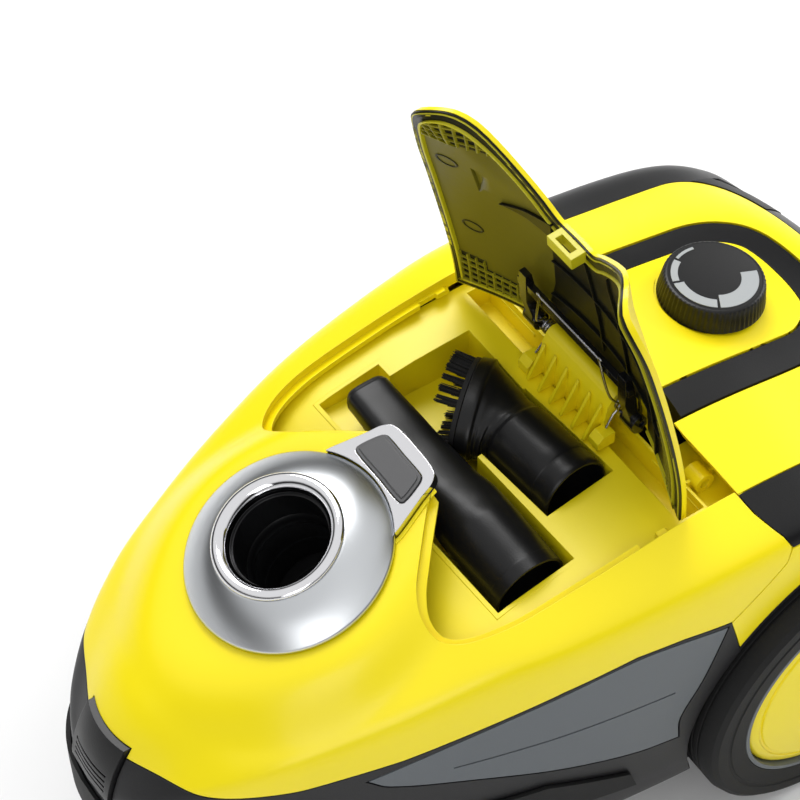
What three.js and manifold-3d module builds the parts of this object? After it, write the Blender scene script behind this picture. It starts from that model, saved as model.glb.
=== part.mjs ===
// Canister vacuum cleaner, built in millimetres, +Z up.
// The parts are laid out about the hose socket centre (the working datum) and the
// finished group is moved so that the origin lies on the floor under the middle of
// the machine.  The nose points to -Y, the machine's right-hand side is +X.
import * as THREE from 'three';
import { mergeVertices } from 'three/addons/utils/BufferGeometryUtils.js';
import Module from 'manifold-3d';

// ---------------------------------------------------------------- dimensions
const DATUM = [0, -99, 191];      // working datum in the finished frame
const WALL = 2.6;                  // moulded wall
const GAP = 0.6;                   // shut lines between shells
const DISC_TILT = 19.5;            // hose socket leans forward
const DISC_R = 45;                 // steel trim disc
const RING_R = 28.3, BORE_R = 20.7, CONE_H = 13.6;
const FLAP_OPEN = 84;              // lid stands this far open at rest
const FLAP_AXIS = [148, 20];       // y, z of the lid hinge
const HOOD_AXIS = [161.5, 25.4];       // y, z of the hood hinge
const HANDLE_AXIS = [168.5, 18.5]; // y, z of the carrying handle pivots
const WHEEL = { y: 215, z: -108.5, r: 82.5, rim: 63, x0: 98.6, x1: 124.6 };
const ARCH_R = 85.5;
const KNOB = { y: 214, z: 22.5, r: 22.5, h: 12.5, tilt: -4.2 };
const CASTER = { y: -35, trail: 14, r: 19, pocket: 36 };
const FLOOR = -191;

// ---------------------------------------------------------------- materials
const mat = (color, roughness, metalness = 0) => new THREE.MeshStandardMaterial({ color, roughness, metalness });
const YELLOW = () => mat(0xffd800, 0.28), BLACK = () => mat(0x1c1c1e, 0.45), DARK = () => mat(0x2a2b2d, 0.55);
const GREY = () => mat(0x5f6468, 0.45), MID = () => mat(0x737373, 0.5), STEEL = () => mat(0xc8cacc, 0.3, 1);
const CHROME = () => mat(0xe2e4e6, 0.1, 1), RUBBER = () => mat(0x18181a, 0.85), OLIVE = () => mat(0x8a7c10, 0.5);

// ---------------------------------------------------------------- solids
const wasm = await Module(); wasm.setup();
const group = new THREE.Group();
group.name = 'canister_vacuum_cleaner';

function solid(geo) {
  let g = geo.clone();
  g.deleteAttribute('normal'); g.deleteAttribute('uv');
  g = mergeVertices(g, 1e-4);
  let idx = Array.from(g.index.array); const p = g.attributes.position;
  const keep = [];
  for (let i = 0; i < idx.length; i += 3) {
    const [a, b, c] = [idx[i], idx[i + 1], idx[i + 2]];
    if (a !== b && b !== c && a !== c) keep.push(a, b, c);
  }
  let v = 0;
  const P = k => [p.getX(k), p.getY(k), p.getZ(k)];
  for (let i = 0; i < keep.length; i += 3) {
    const [a, b, c] = [P(keep[i]), P(keep[i + 1]), P(keep[i + 2])];
    v += a[0] * (b[1] * c[2] - b[2] * c[1]) - a[1] * (b[0] * c[2] - b[2] * c[0]) + a[2] * (b[0] * c[1] - b[1] * c[0]);
  }
  if (v < 0) for (let i = 0; i < keep.length; i += 3) { const t = keep[i]; keep[i] = keep[i + 1]; keep[i + 1] = t; }
  return new wasm.Manifold(new wasm.Mesh({ numProp: 3, vertProperties: new Float32Array(p.array), triVerts: new Uint32Array(keep) }));
}
const union = a => a.reduce((m, x) => m.add(x));
function put(name, m, material, tol = 0.03) {
  if (tol) m = m.asOriginal().simplify(tol);
  const parts = m.decompose().filter(x => Math.abs(x.volume()) > 0.5);
  let best = parts[0];
  for (const x of parts) if (x.volume() > best.volume()) best = x;
  const mesh = best.getMesh();
  const g = new THREE.BufferGeometry();
  g.setAttribute('position', new THREE.BufferAttribute(new Float32Array(mesh.vertProperties), 3));
  g.setIndex(new THREE.BufferAttribute(new Uint32Array(mesh.triVerts), 1));
  g.translate(...DATUM);
  g.computeVertexNormals();
  const o = new THREE.Mesh(g, material); o.name = name; group.add(o);
  return o;
}
const shape = pts => { const s = new THREE.Shape(); pts.forEach((q, i) => i ? s.lineTo(q[0], q[1]) : s.moveTo(q[0], q[1])); s.closePath(); return s; };
const ex = (pts, d) => new THREE.ExtrudeGeometry(shape(pts), { depth: d, bevelEnabled: false, steps: 1 });
// outline in x,y swept from z0 to z1
const prismZ = (pts, z0, z1) => { const g = ex(pts, z1 - z0); g.translate(0, 0, z0); return solid(g); };
// outline in y,z swept from x0 to x1
const prismX = (pts, x0, x1) => {
  const g = ex(pts, x1 - x0);
  g.applyMatrix4(new THREE.Matrix4().set(0, 0, 1, x0, 1, 0, 0, 0, 0, 1, 0, 0, 0, 0, 0, 1)); return solid(g);
};
const box = (x0, x1, y0, y1, z0, z1) => { const g = new THREE.BoxGeometry(x1 - x0, y1 - y0, z1 - z0); g.translate((x0 + x1) / 2, (y0 + y1) / 2, (z0 + z1) / 2); return solid(g); };
const latheGeo = (pts, seg = 32) => { const g = new THREE.LatheGeometry(pts.map(q => new THREE.Vector2(q[0], q[1])), seg); g.rotateX(Math.PI / 2); return g; }; // axis +Z
const lathe = (pts, seg, m) => { const g = latheGeo(pts, seg); if (m) g.applyMatrix4(m); return solid(g); };
const tr = (x, y, z) => new THREE.Matrix4().makeTranslation(x, y, z);
const rx = d => new THREE.Matrix4().makeRotationX(d * Math.PI / 180);
const ry = d => new THREE.Matrix4().makeRotationY(d * Math.PI / 180);
const rz = d => new THREE.Matrix4().makeRotationZ(d * Math.PI / 180);
const cylGeo = (r, z0, z1, seg = 24) => { const g = new THREE.CylinderGeometry(r, r, z1 - z0, seg); g.rotateX(Math.PI / 2); g.translate(0, 0, (z0 + z1) / 2); return g; };
const cyl = (r, z0, z1, seg, m) => { const g = cylGeo(r, z0, z1, seg); if (m) g.applyMatrix4(m); return solid(g); };
const AXX = ry(90);                                  // local +Z to +X
const cylX = (r, x0, x1, y, z, seg = 24) => cyl(r, x0, x1, seg, tr(0, y, z).multiply(AXX));
const DISC = rx(DISC_TILT);                          // local +Z to the socket axis
const mirrorX = pts => [...pts, ...pts.filter(q => Math.abs(q[0]) > 1e-6).map(q => [-q[0], q[1]]).reverse()];
const grow = (pts, d) => {                           // offset a counter-clockwise outline outwards
  const n = pts.length, out = [];
  let A = 0; for (let i = 0; i < n; i++) { const a = pts[i], b = pts[(i + 1) % n]; A += a[0] * b[1] - b[0] * a[1]; }
  const s = A > 0 ? 1 : -1;
  for (let i = 0; i < n; i++) {
    const a = pts[(i + n - 1) % n], b = pts[i], c = pts[(i + 1) % n];
    let u = [b[0] - a[0], b[1] - a[1]], v = [c[0] - b[0], c[1] - b[1]];
    const lu = Math.hypot(...u), lv = Math.hypot(...v); u = [u[0] / lu, u[1] / lu]; v = [v[0] / lv, v[1] / lv];
    const nx = (u[1] + v[1]) * s, ny = -(u[0] + v[0]) * s, k = 1 + (u[0] * v[0] + u[1] * v[1]);
    out.push([b[0] + nx * d / Math.max(k, 0.35), b[1] + ny * d / Math.max(k, 0.35)]);
  }
  return out;
};

// ---------------------------------------------------------------- body surface
// One row per cross-section: y, top z, belt half width, bottom z, belt z, crown drop, shoulder inset
const ROWS = [
  [-100.0, -84, 6, -118, -100, 5, 3],
  [-98.6, -71, 17, -134, -100, 9, 4],
  [-95.4, -61, 27, -145, -98, 13, 5],
  [-89.0, -50.5, 37.5, -153, -96, 17, 5.5],
  [-80.0, -39.5, 47, -159, -93, 20, 6],
  [-70.0, -31, 55, -163, -90, 21.5, 6],
  [-58.0, -22.8, 62.5, -165.5, -87, 22, 6],
  [-42.0, -15.0, 70.5, -167, -84, 22, 6],
  [-22.0, -7.8, 78, -168, -81, 22, 6],
  [0.0, 0.0, 85.5, -168.5, -79, 22.5, 6],
  [22.0, 7.8, 92, -169, -77, 23.5, 6.5],
  [45.0, 15.6, 98.2, -169, -76, 25, 7],
  [66.0, 20.0, 103.2, -169, -75, 26.5, 7],
  [90.0, 24.0, 107.6, -169, -75, 27.5, 7.5],
  [115.0, 27.3, 111.2, -169, -75, 28, 8],
  [140.0, 29.2, 114.0, -169, -75, 28, 8.5],
  [165.0, 29.0, 115.2, -169, -75, 28, 9],
  [190.0, 26.5, 115.8, -168, -76, 27, 9],
  [214.0, 22.5, 115.8, -166, -77, 26, 9],
  [236.0, 18.8, 115.0, -163, -78, 25, 9],
  [256.0, 15.2, 113.0, -159, -79, 24, 9],
  [272.0, 11.0, 109.0, -154, -80, 22.5, 9],
  [284.0, 5.0, 102.5, -148, -81, 20, 9],
  [292.0, -3.0, 94.0, -140, -82, 16, 8],
  [297.5, -16.0, 82.0, -130, -82, 11, 6],
  [300.0, -33.0, 66.0, -118, -82, 6, 4],
];
const cr = (a, b, c, d, t) => 0.5 * ((2 * b) + (c - a) * t + (2 * a - 5 * b + 4 * c - d) * t * t + (3 * b - a - 3 * c + d) * t * t * t);
function rowAt(t) {
  const n = ROWS.length - 1, i = Math.min(Math.floor(t), n - 1), f = t - i;
  const R = k => ROWS[Math.max(0, Math.min(n, k))];
  return ROWS[0].map((_, k) => cr(R(i - 1)[k], R(i)[k], R(i + 1)[k], R(i + 2)[k], f));
}
const SUBS = [2, 2, 2, 1, 1, 1, 1, 1, 1, 1], TOPS = 6;
function profile(row, d) {
  let [y, T, W, B, M, c, s] = row;
  T -= d; W -= d; B += d; s += d * 0.15; c *= 1 - d * 0.004;
  const S = W - s, lo = M - B;
  const tgt = [[0, T], [0.40 * S, T - 0.175 * c], [0.77 * S, T - 0.68 * c], [S + 2.5, T - c + 1],
    [W - 0.28 * s, T - c - 0.30 * (T - c - M)], [W, M], [W - 0.12 * s, M - 0.38 * lo], [W - 0.55 * s, B + 0.30 * lo],
    [W - 2.3 * s, B + 0.02 * lo], [0.45 * W, B], [0, B]];
  const n = tgt.length, P = tgt.map(q => q.slice());
  const at = k => k < 0 ? [-P[-k][0], P[-k][1]] : k >= n ? [-P[2 * n - 2 - k][0], P[2 * n - 2 - k][1]] : P[k];
  for (let it = 0; it < 4; it++) {
    const e = tgt.map((q, k) => [0, 1].map(j => q[j] - (at(k - 1)[j] + 4 * at(k)[j] + at(k + 1)[j]) / 6));
    for (const k of [0, 1, 2, 4, 5, 6, 7, 9, 10]) for (const j of [0, 1]) P[k][j] += e[k][j];
  }
  const out = [];
  for (let k = 0; k < n - 1; k++) for (let m = 0; m < SUBS[k]; m++) {
    const f = m / SUBS[k], a = at(k - 1), b = at(k), c2 = at(k + 1), e = at(k + 2);
    const w = [(1 - f) ** 3 / 6, (3 * f ** 3 - 6 * f * f + 4) / 6, (-3 * f ** 3 + 3 * f * f + 3 * f + 1) / 6, f ** 3 / 6];
    out.push([0, 1].map(j => w[0] * a[j] + w[1] * b[j] + w[2] * c2[j] + w[3] * e[j]));
  }
  out.push([0, at(n - 1)[1] * 4 / 6 + at(n - 2)[1] / 3]);
  out[0][0] = 0;
  return out;
}
const TILT = Math.tan(DISC_TILT * Math.PI / 180);
const sm = (a, b, v) => { const t = Math.max(0, Math.min(1, (v - a) / (b - a))); return t * t * (3 - 2 * t); };
function seat(x, y, z, d) {                          // level pad under the trim disc
  const r = Math.hypot(x, y), zp = TILT * y - 1.6 - d * 1.06;
  if (z < zp - 26) return z;
  const w = 1 - sm(48, 74, r);
  return z + (zp - z) * w;
}
const STEPS = [0, 0.5, 1, 1.5, 2, 2.5, 3, 4, 5, 6, 7, 8, 9, 10, 11, 12, 14, 16, 18, 19, 20, 21, 22, 23, 24, 25];
function body(d) {
  const ymin = ROWS[0][0], ymax = ROWS[ROWS.length - 1][0], ym = (ymin + ymax) / 2, k = (ym - ymin - d) / (ym - ymin);
  const rings = STEPS.map(t => {
    const row = rowAt(t), half = profile(row, d), y = ym + (row[0] - ym) * k;
    const top = TOPS;
    const R = half.map((q, i) => [q[0], y, i <= top ? seat(q[0], y, q[1], d) : q[1]]);
    const L = half.slice(1, -1).map((q, i) => [-q[0], y, i + 1 <= top ? seat(q[0], y, q[1], d) : q[1]]).reverse();
    return [...R, ...L];
  });
  const n = rings[0].length, pos = [], idx = [];
  rings.forEach(r => r.forEach(q => pos.push(...q)));
  for (let i = 0; i < rings.length - 1; i++) for (let j = 0; j < n; j++) {
    const a = i * n + j, b = i * n + (j + 1) % n, c = a + n, e = b + n;
    idx.push(a, c, b, b, c, e);
  }
  for (const [base, flip] of [[0, false], [(rings.length - 1) * n, true]]) {
    const r = rings[base / n], cz = r.reduce((s, q) => s + q[2], 0) / n;
    pos.push(0, r[0][1], cz); const ci = pos.length / 3 - 1;
    for (let j = 0; j < n; j++) { const a = base + j, b = base + (j + 1) % n; flip ? idx.push(ci, b, a) : idx.push(ci, a, b); }
  }
  const g = new THREE.BufferGeometry();
  g.setAttribute('position', new THREE.BufferAttribute(new Float32Array(pos), 3)); g.setIndex(idx);
  return solid(g);
}
const cache = new Map();
const skin = d => { if (!cache.has(d)) cache.set(d, d >= 2.5 ? body(d).simplify(0.4) : body(d)); return cache.get(d); };
const layer = (d0, d1) => skin(d0).subtract(skin(d1));

// ---------------------------------------------------------------- shut lines (y, z)
const SEAM = [[156, 60], [156, 27], [157.5, 21], [161, 14.5], [165, 6], [171, 0], [173, -4], [170, -10], [143, -29.5]];
const SILL = [[143, -29.5], [120, -26.5], [98, -25.5], [66, -30.5], [30, -39], [0, -46], [-40, -52.5], [-75, -55.5], [-110, -57]];
const shift = (pts, dy, dz) => pts.map(q => [q[0] + dy, q[1] + dz]);
const hoodCut = prismX([[-110, 60], [156, 60], ...SEAM.slice(1), ...SILL.slice(1)], -130, 130);
const seamR = SEAM.map(q => [q[0] + (q[1] > -4 ? GAP : q[1] > -8 ? GAP * 1.3 : 0.2), q[1] - (q[1] > -4 ? 0 : GAP)]);
const WAIST = [[143, -30.4], [147, -44], [152, -62], [170, -84], [240, -92], [310, -92]];
const rearCut = prismX([...seamR.slice(0, -1), ...WAIST, [310, 60]], -130, 130);
const lowerCut = prismX([...SILL.slice().reverse().map(q => [q[0], q[1] - GAP]), [143, -31], ...WAIST.slice(1).map(q => [q[0] - 0.3, q[1] - GAP]), [310, -200], [-110, -200]], -130, 130);

// lid outline (plan) and the opening that takes it
const LID = mirrorX([[0, 64.5], [11, 64], [19, 57], [40, 38], [49, 30.5], [57, 27], [65, 28.5], [71.5, 34.5], [76, 44.5], [79, 60], [80.3, 84], [81, 108], [80.8, 135], [79.6, 160], [60, 157.5], [30, 155.6], [0, 155.2]]);
const MOUTH = mirrorX([[0, 63.6], [11.4, 63.0], [18.4, 56.2], [39.4, 37.2], [48.6, 29.6], [57, 26], [65.5, 27.6], [72.3, 34], [76.9, 44.3], [80, 60], [81.3, 84], [82, 108], [82, 178], [0, 178]]);
// trim disc notch, latch arm outline in the disc plane
const ARM = mirrorX([[0, 30], [26, 30], [26, 37.5], [23.5, 46], [20.5, 55], [18.5, 62], [14.5, 66], [0, 67]]);
const WINDOW = mirrorX([[0, 46.6], [17, 46.6], [17.6, 48], [15.4, 57], [13.6, 60], [12, 61], [0, 61]]);

// ================================================================ HOOD
{
  let hood = layer(0, WALL).intersect(hoodCut);
  hood = hood.subtract(prismZ(MOUTH, -22, 70));
  const rimOut = prismZ(grow(MOUTH, 2.2), -22, 70), mouth = prismZ(MOUTH, -22, 70);
  const keepRear = box(-130, 130, -110, 164, -60, 80);
  const wall = layer(0.4, 5.8).intersect(rimOut.subtract(mouth)).intersect(hoodCut);
  const ledge = layer(3.4, 5.8).intersect(prismZ(grow(MOUTH, 1), -22, 70).subtract(prismZ(grow(MOUTH, -4), -22, 70))).intersect(box(-130, 130, -110, 154, -60, 80)).intersect(hoodCut);
  const toolWay = prismZ([[-60, 60.2], [66, 57.2], [66, 100], [-60, 100]], -60, 70);
  hood = hood.add(wall).add(ledge.subtract(toolWay).subtract(cylX(22.4, -84, 84, ...FLAP_AXIS, 24)));
  // snap slots for the lid in the rim
  for (const s of [1, -1]) hood = hood.subtract(box(Math.min(s * 77.2, s * 80), Math.max(s * 77.2, s * 80), 117, 126, -4, 12));
  // hole for the hose socket and the latch recess
  hood = hood.subtract(cyl(24.6, -30, 30, 32, DISC));
  hood = hood.subtract((() => { const g = ex(ARM.map(q => [q[0], q[1]]), 9); g.translate(0, 0, -3.2); g.applyMatrix4(DISC); return solid(g); })());
  const pocket = (() => { const a = ex(grow(ARM, 1.6), 4.9), b = ex(ARM, 8); a.translate(0, 0, -5.8); b.translate(0, 0, -3.2); a.applyMatrix4(DISC); b.applyMatrix4(DISC); return solid(a).subtract(solid(b)); })();
  const underLid = layer(-1, 5.9).intersect(prismZ(grow(LID, 0.5), -30, 70));
  hood = hood.add(pocket.subtract(cyl(24.6, -30, 30, 32, DISC)).subtract(toolWay).subtract(underLid));
  // way in for the lid's catch tab
  hood = hood.subtract(box(-10, 10, 62.9, 74, 6, 18.2));
  // nose recess for the hood catch
  hood = hood.subtract(box(-15.6, 15.6, -104, -85, -70, -51.4));
  put('hood_shell', hood, YELLOW(), 0.22);
}
{ // accessory tray: plateau with two tool pockets and the hinge well behind
  const top = [[156, 1.0], [127, -0.4], [100, -2.4], [62, -8.6], [45, -13.4], [30, -19], [15, -22]];
  const plateYZ = [...top, ...top.slice().reverse().map(q => [q[0], q[1] - 2.2])];
  const trayOut = grow(MOUTH.map(q => [q[0], Math.min(q[1], 155.4)]), -0.9);
  let plate = prismX(plateYZ, -90, 90).intersect(prismZ(trayOut, -60, 60));
  const rot = (x0, x1, y0, y1, z0, z1, ang, cx, cy) => { const g = new THREE.BoxGeometry(x1 - x0, y1 - y0, z1 - z0); g.translate((x0 + x1) / 2, (y0 + y1) / 2, (z0 + z1) / 2); g.applyMatrix4(tr(cx, cy, 0).multiply(rz(ang))); return solid(g); };
  const P1 = e => [rot(-14 - e, 66 + e, -19.2 - e, 19.2 + e, -30 - e, 40, 2, 0, 74), rot(-66 - e, 0, -15.6 - e, 15.6 + e, -15.5 - e, 40, 2, 0, 74)];
  const P2 = e => [rot(-16 - e, 41 + e, -18.2 - e, 17.6 + e, -22 - e, 40, 4.3, 0, 113.7), box(-58 - e, 0, 86 - e, 129 + e, -22.6 - e, 40)];
  const P3 = e => [box(-76 - e, 76 + e, 140.4 - e, 153.2 + e, -13 - e, 40)];
  const cut = union([...P1(0), ...P2(0), ...P3(0)]);
  const shells = union([...P1(2), ...P2(2), ...P3(2)]).intersect(prismX([[158, 1.0], [127, -0.4], [100, -2.4], [62, -8.4], [45, -13], [30, -18.4], [30, -60], [158, -60]], -90, 90)).intersect(prismZ(trayOut, -60, 60));
  let tray = plate.add(shells).subtract(cut);
  // hood hinge arms, rising behind the lid to the pivots under the rear deck
  for (const s of [1, -1]) {
    const x0 = Math.min(s * 7, s * 12.6), x1 = Math.max(s * 7, s * 12.6);
    const arm = prismX([[152.4, -14.8], [155.2, -14.8], [163.6, 8], [164, 25.4], [159.4, 25.4], [160.4, 19], [160.2, 10], [152.4, -5]], x0, x1).add(cylX(2.7, x0, x1, ...HOOD_AXIS, 14));
    tray = tray.add(arm).subtract(cylX(1.6, x0 - 1, x1 + 1, ...HOOD_AXIS, 14));
  }
  tray = tray.subtract(cyl(25.4, -60, 30, 32, DISC));
  put('accessory_tray', tray, YELLOW());
}
{ // lid hinge bracket with its barrel, gussets and spring posts
  const [hy, hz] = FLAP_AXIS;
  let b = prismX([[140.9, -12.6], [144, -12.6], [144.4, 9], [147.5, 15], [150, 17], [149, 21], [144.6, 22.6], [142.4, 18.5], [140.9, 10]], -23, 23);
  b = b.add(cylX(4.4, -23, 23, hy, hz, 20));
  for (let i = 0; i < 6; i++) { const x = -20 + i * 8; b = b.add(prismX([[132.6, 1.2], [141.2, 18.6], [141.2, 1.2]], x - 0.7, x + 0.7)); }
  for (const s of [1, -1]) b = b.add(prismX([[134.2, 1.2], [143, 1.2], [143, 8], [137, 8], [134.2, 5]], Math.min(s * 22, s * 28.5), Math.max(s * 22, s * 28.5)));
  b = b.subtract(cylX(1.75, 10, 30, hy, hz, 14)).subtract(cylX(1.75, -30, -10, hy, hz, 14));
  put('flap_hinge_bracket', b, YELLOW());
  for (const [s, n] of [[1, 'right'], [-1, 'left']]) {
    put('flap_pin_' + n, cylX(1.5, Math.min(s * 10.5, s * 37), Math.max(s * 10.5, s * 37), hy, hz, 14), STEEL());
    // torsion coil round the pin with its hook leg
    const C = new THREE.CatmullRomCurve3([]), pts = [];
    const turns = 2.25, N = Math.round(turns * 9), r = 3.1, x0 = 24.2, x1 = 28.4;
    for (let i = 0; i <= N; i++) { const a = -Math.PI / 2 - i / 9 * Math.PI * 2; pts.push(new THREE.Vector3(s * (x0 + (x1 - x0) * i / N), hy + r * Math.cos(a), hz + r * Math.sin(a))); }
    pts.unshift(new THREE.Vector3(s * 25, 140.6, 8.8), new THREE.Vector3(s * 24.4, 144.4, 14.6));
    C.points = pts;
    const w = new THREE.Shape(); w.absarc(0, 0, 0.55, 0, Math.PI * 2, false);
    const g = new THREE.ExtrudeGeometry(new THREE.Shape(Array.from({ length: 5 }, (_, i) => new THREE.Vector2(0.55 * Math.cos(i * 1.2566), 0.55 * Math.sin(i * 1.2566)))), { extrudePath: C, steps: pts.length + 2, bevelEnabled: false });
    put('flap_spring_' + n, solid(g), STEEL());
  }
}
{ // hose socket
  const L = (pts, seg) => lathe(pts, seg, DISC);
  put('inlet_trim_disc', L([[27.6, 12.2], [43.6, 0.0], [44.6, -0.6], [45, 0.2], [44.7, 1.3], [29.0, CONE_H + 0.3], [27.6, CONE_H + 0.4], [27.6, 12.2]], 32), STEEL());
  put('inlet_ring', L([[24.4, 7], [27.2, 7], [27.2, 14.3], [28.3, 14.3], [27.2, 16.4], [23.4, 16.0], [21.3, 13], [21.3, 10], [24.4, 10], [24.4, 7]], 24), CHROME());
  let tube = L([[BORE_R, -45], [23.9, -45], [23.9, 9.6], [20.4, 9.6], [BORE_R, 6], [BORE_R, -8], [19.4, -10], [19.4, -14], [BORE_R, -16], [BORE_R, -45]], 22);
  put('inlet_tube', tube, BLACK());
  put('check_flap', cyl(16.4, -52.2, -50.6, 20, DISC), MID());
  const lay = (o, z0, z1) => { const g = ex(o, z1 - z0); g.translate(0, 0, z0); g.applyMatrix4(DISC); return solid(g); };
  const keepOut = cyl(DISC_R + 0.4, -10, 10, 48, DISC);
  let frame = lay(grow(ARM, -0.4), -2.8, 2.6).subtract(lay(WINDOW, -6, 8)).subtract(keepOut);
  const bridge = lay(mirrorX([[0, 45.6], [23.6, 39.5], [22.6, 46], [0, 46]]), -2.8, 2.4).subtract(keepOut).subtract(lay(WINDOW, -6, 8));
  put('latch_frame', frame.add(bridge), CHROME());
  put('release_button', lay(grow(WINDOW, -0.4), -0.6, 4.0), MID());
}
const aim = (a, b, roll = 0) => {    // local +X from a to b
  const A = new THREE.Vector3(...a), X = new THREE.Vector3(...b).sub(A).normalize(), Y = new THREE.Vector3(0, 0, 1).cross(X).normalize(), Z = X.clone().cross(Y);
  return new THREE.Matrix4().makeBasis(X, Y, Z).setPosition(A).multiply(rx(roll));
};
const CREV = aim([-54, 71.7, 0.1], [62, 76.3, -12.8]);
// ================================================================ LID
const openLid = new THREE.Matrix4().multiply(tr(0, FLAP_AXIS[0], FLAP_AXIS[1])).multiply(rx(-FLAP_OPEN)).multiply(tr(0, -FLAP_AXIS[0], -FLAP_AXIS[1]));
const opened = m => { const e = openLid.elements; return m.transform([e[0], e[1], e[2], 0, e[4], e[5], e[6], 0, e[8], e[9], e[10], 0, e[12], e[13], e[14], 1]); };
{
  const col = o => prismZ(o, -30, 70);
  const skinL = layer(0, 1.9).intersect(col(LID)).subtract(cylX(5.2, -90, 90, ...FLAP_AXIS, 20));
  put('flap_skin', opened(skinL), YELLOW());
  const inner = grow(LID, -1.0), core = grow(LID, -5);
  let fr = layer(2.2, 3.2).intersect(col(inner)).add(layer(2.4, 5.4).intersect(col(grow(LID, -5.4)).subtract(col(grow(LID, -7.6)))));
  // ribs on the inside
  const near = col(grow(LID, -6));
  for (const x of [-52, 52]) fr = fr.add(layer(2.8, 5.0).intersect(near).intersect(box(x - 0.8, x + 0.8, 20, 158, -30, 70)));
  fr = fr.add(layer(2.8, 5.0).intersect(near).intersect(box(-90, 90, 110.6, 112.2, -30, 70)));
  // catch tab at the front edge
  fr = fr.add(prismX([[64.05, 8], [72, 8], [72, 17], [64.05, 17.2]], -9, 9)).subtract(box(-4.6, 4.6, 62, 74, 10.4, 13.6));
  fr = fr.subtract(cylX(6.4, -30, 30, ...FLAP_AXIS, 20)).subtract(box(-41, 41, 136, 157, 0, 24.6));
  // relief over the stored crevice tool
  fr = fr.subtract(loftX([[-1, 10.4, 7.4, 1.5, 3.2], [34, 12.6, 9.0, 1, 3], [58, 14.2, 12, 0.4, 2.8], [76, 17.1, 15.9, 0, 2.3], [86, 17.6, 17.6, 0, 2], [118, 17.7, 17.7, 0, 2]], 16, CREV));
  put('flap_frame', opened(fr), OLIVE());
  // knuckles reaching the hinge pins
  const [hy, hz] = FLAP_AXIS; const ks = [];
  for (const s of [1, -1]) {
    const x0 = Math.min(s * 30.2, s * 38.5), x1 = Math.max(s * 30.2, s * 38.5);
    let k = prismX([[116, 13.5], [132, 13.0], [143.4, hz - 4.6], [148, hz - 5.2], [152, hz - 3.8], [153, hz - 1.2], [150.6, hz + 0.4], [130, 18.6], [116, 16.6]], x0, x1).add(cylX(5.2, x0, x1, hy, hz, 18).intersect(box(-60, 60, 130, 160, 0, hz + 0.6)).add(cylX(3.2, x0, x1, hy, hz, 16).intersect(box(-60, 60, 130, 160, 0, hz + 2.6))));
    ks.push(k.subtract(cylX(1.6, x0 - 1, x1 + 1, hy, hz, 16)));
  }
  let bar = box(-38.5, 38.5, 121, 125, 13.6, 16.6);
  put('flap_knuckles', opened(union([...ks, bar])), BLACK());
  // bail of the double torsion spring, lying against the inside of the lid
  const B = [[-29.0, 144.8, 20.2], [-25.8, 138, 13.6], [-20.5, 117.5, 12.4], [-19.4, 116.4, 12.4], [19.4, 116.4, 12.4], [20.5, 117.5, 12.4], [25.8, 138, 13.6], [29.0, 144.8, 20.2]].map(q => new THREE.Vector3(...q));
  const path = new THREE.CurvePath(); for (let i = 0; i < B.length - 1; i++) path.add(new THREE.LineCurve3(B[i], B[i + 1]));
  const g = new THREE.ExtrudeGeometry(new THREE.Shape(Array.from({ length: 5 }, (_, i) => new THREE.Vector2(0.55 * Math.cos(i * 1.2566), 0.55 * Math.sin(i * 1.2566)))), { extrudePath: path, steps: 21, bevelEnabled: false });
  put('flap_spring_bail', opened(solid(g)), STEEL());
}
// ================================================================ TOOLS
function loftX(secs, seg, m) {      // secs: [x, ry, rz, cz]
  const pos = [], idx = [];
  for (const [x, a, b, c = 0, p = 2] of secs) for (let i = 0; i < seg; i++) {
    const t = i / seg * Math.PI * 2, C = Math.cos(t), S = Math.sin(t);
    pos.push(x, a * Math.sign(C) * Math.abs(C) ** (2 / p), c + b * Math.sign(S) * Math.abs(S) ** (2 / p));
  }
  for (let k = 0; k < secs.length - 1; k++) for (let i = 0; i < seg; i++) { const a = k * seg + i, b = k * seg + (i + 1) % seg; idx.push(a, b, a + seg, b, b + seg, a + seg); }
  for (const k of [0, secs.length - 1]) { pos.push(secs[k][0], 0, secs[k][3] || 0); const c = pos.length / 3 - 1; for (let i = 0; i < seg; i++) idx.push(...(k ? [c, k * seg + i, k * seg + (i + 1) % seg] : [c, (i + 1) % seg, i])); }
  const g = new THREE.BufferGeometry(); g.setAttribute('position', new THREE.BufferAttribute(new Float32Array(pos), 3)); g.setIndex(idx);
  if (m) g.applyMatrix4(m); return solid(g);
}
{
  const L = 116.6;
  const out = loftX([[0, 9.6, 6.0, 1.5, 3.2], [3, 10.4, 6.6, 1.5, 3.2], [34, 11.6, 8.0, 1.0, 3], [58, 13.2, 11, 0.4, 2.8], [76, 16.2, 15, 0, 2.3], [86, 16.9, 16.9, 0, 2], [L, 17.0, 17.0, 0, 2]], 16, CREV);
  const inn = loftX([[-2, 7.6, 4.2, 1.5, 3.2], [34, 9.6, 6.0, 1.0, 3], [58, 11.2, 9, 0.4, 2.8], [76, 14.2, 13, 0, 2.3], [86, 15.2, 15.2, 0, 2], [L + 2, 15.7, 15.7, 0, 2]], 16, CREV);
  put('crevice_tool', out.subtract(inn), BLACK());
}
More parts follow.
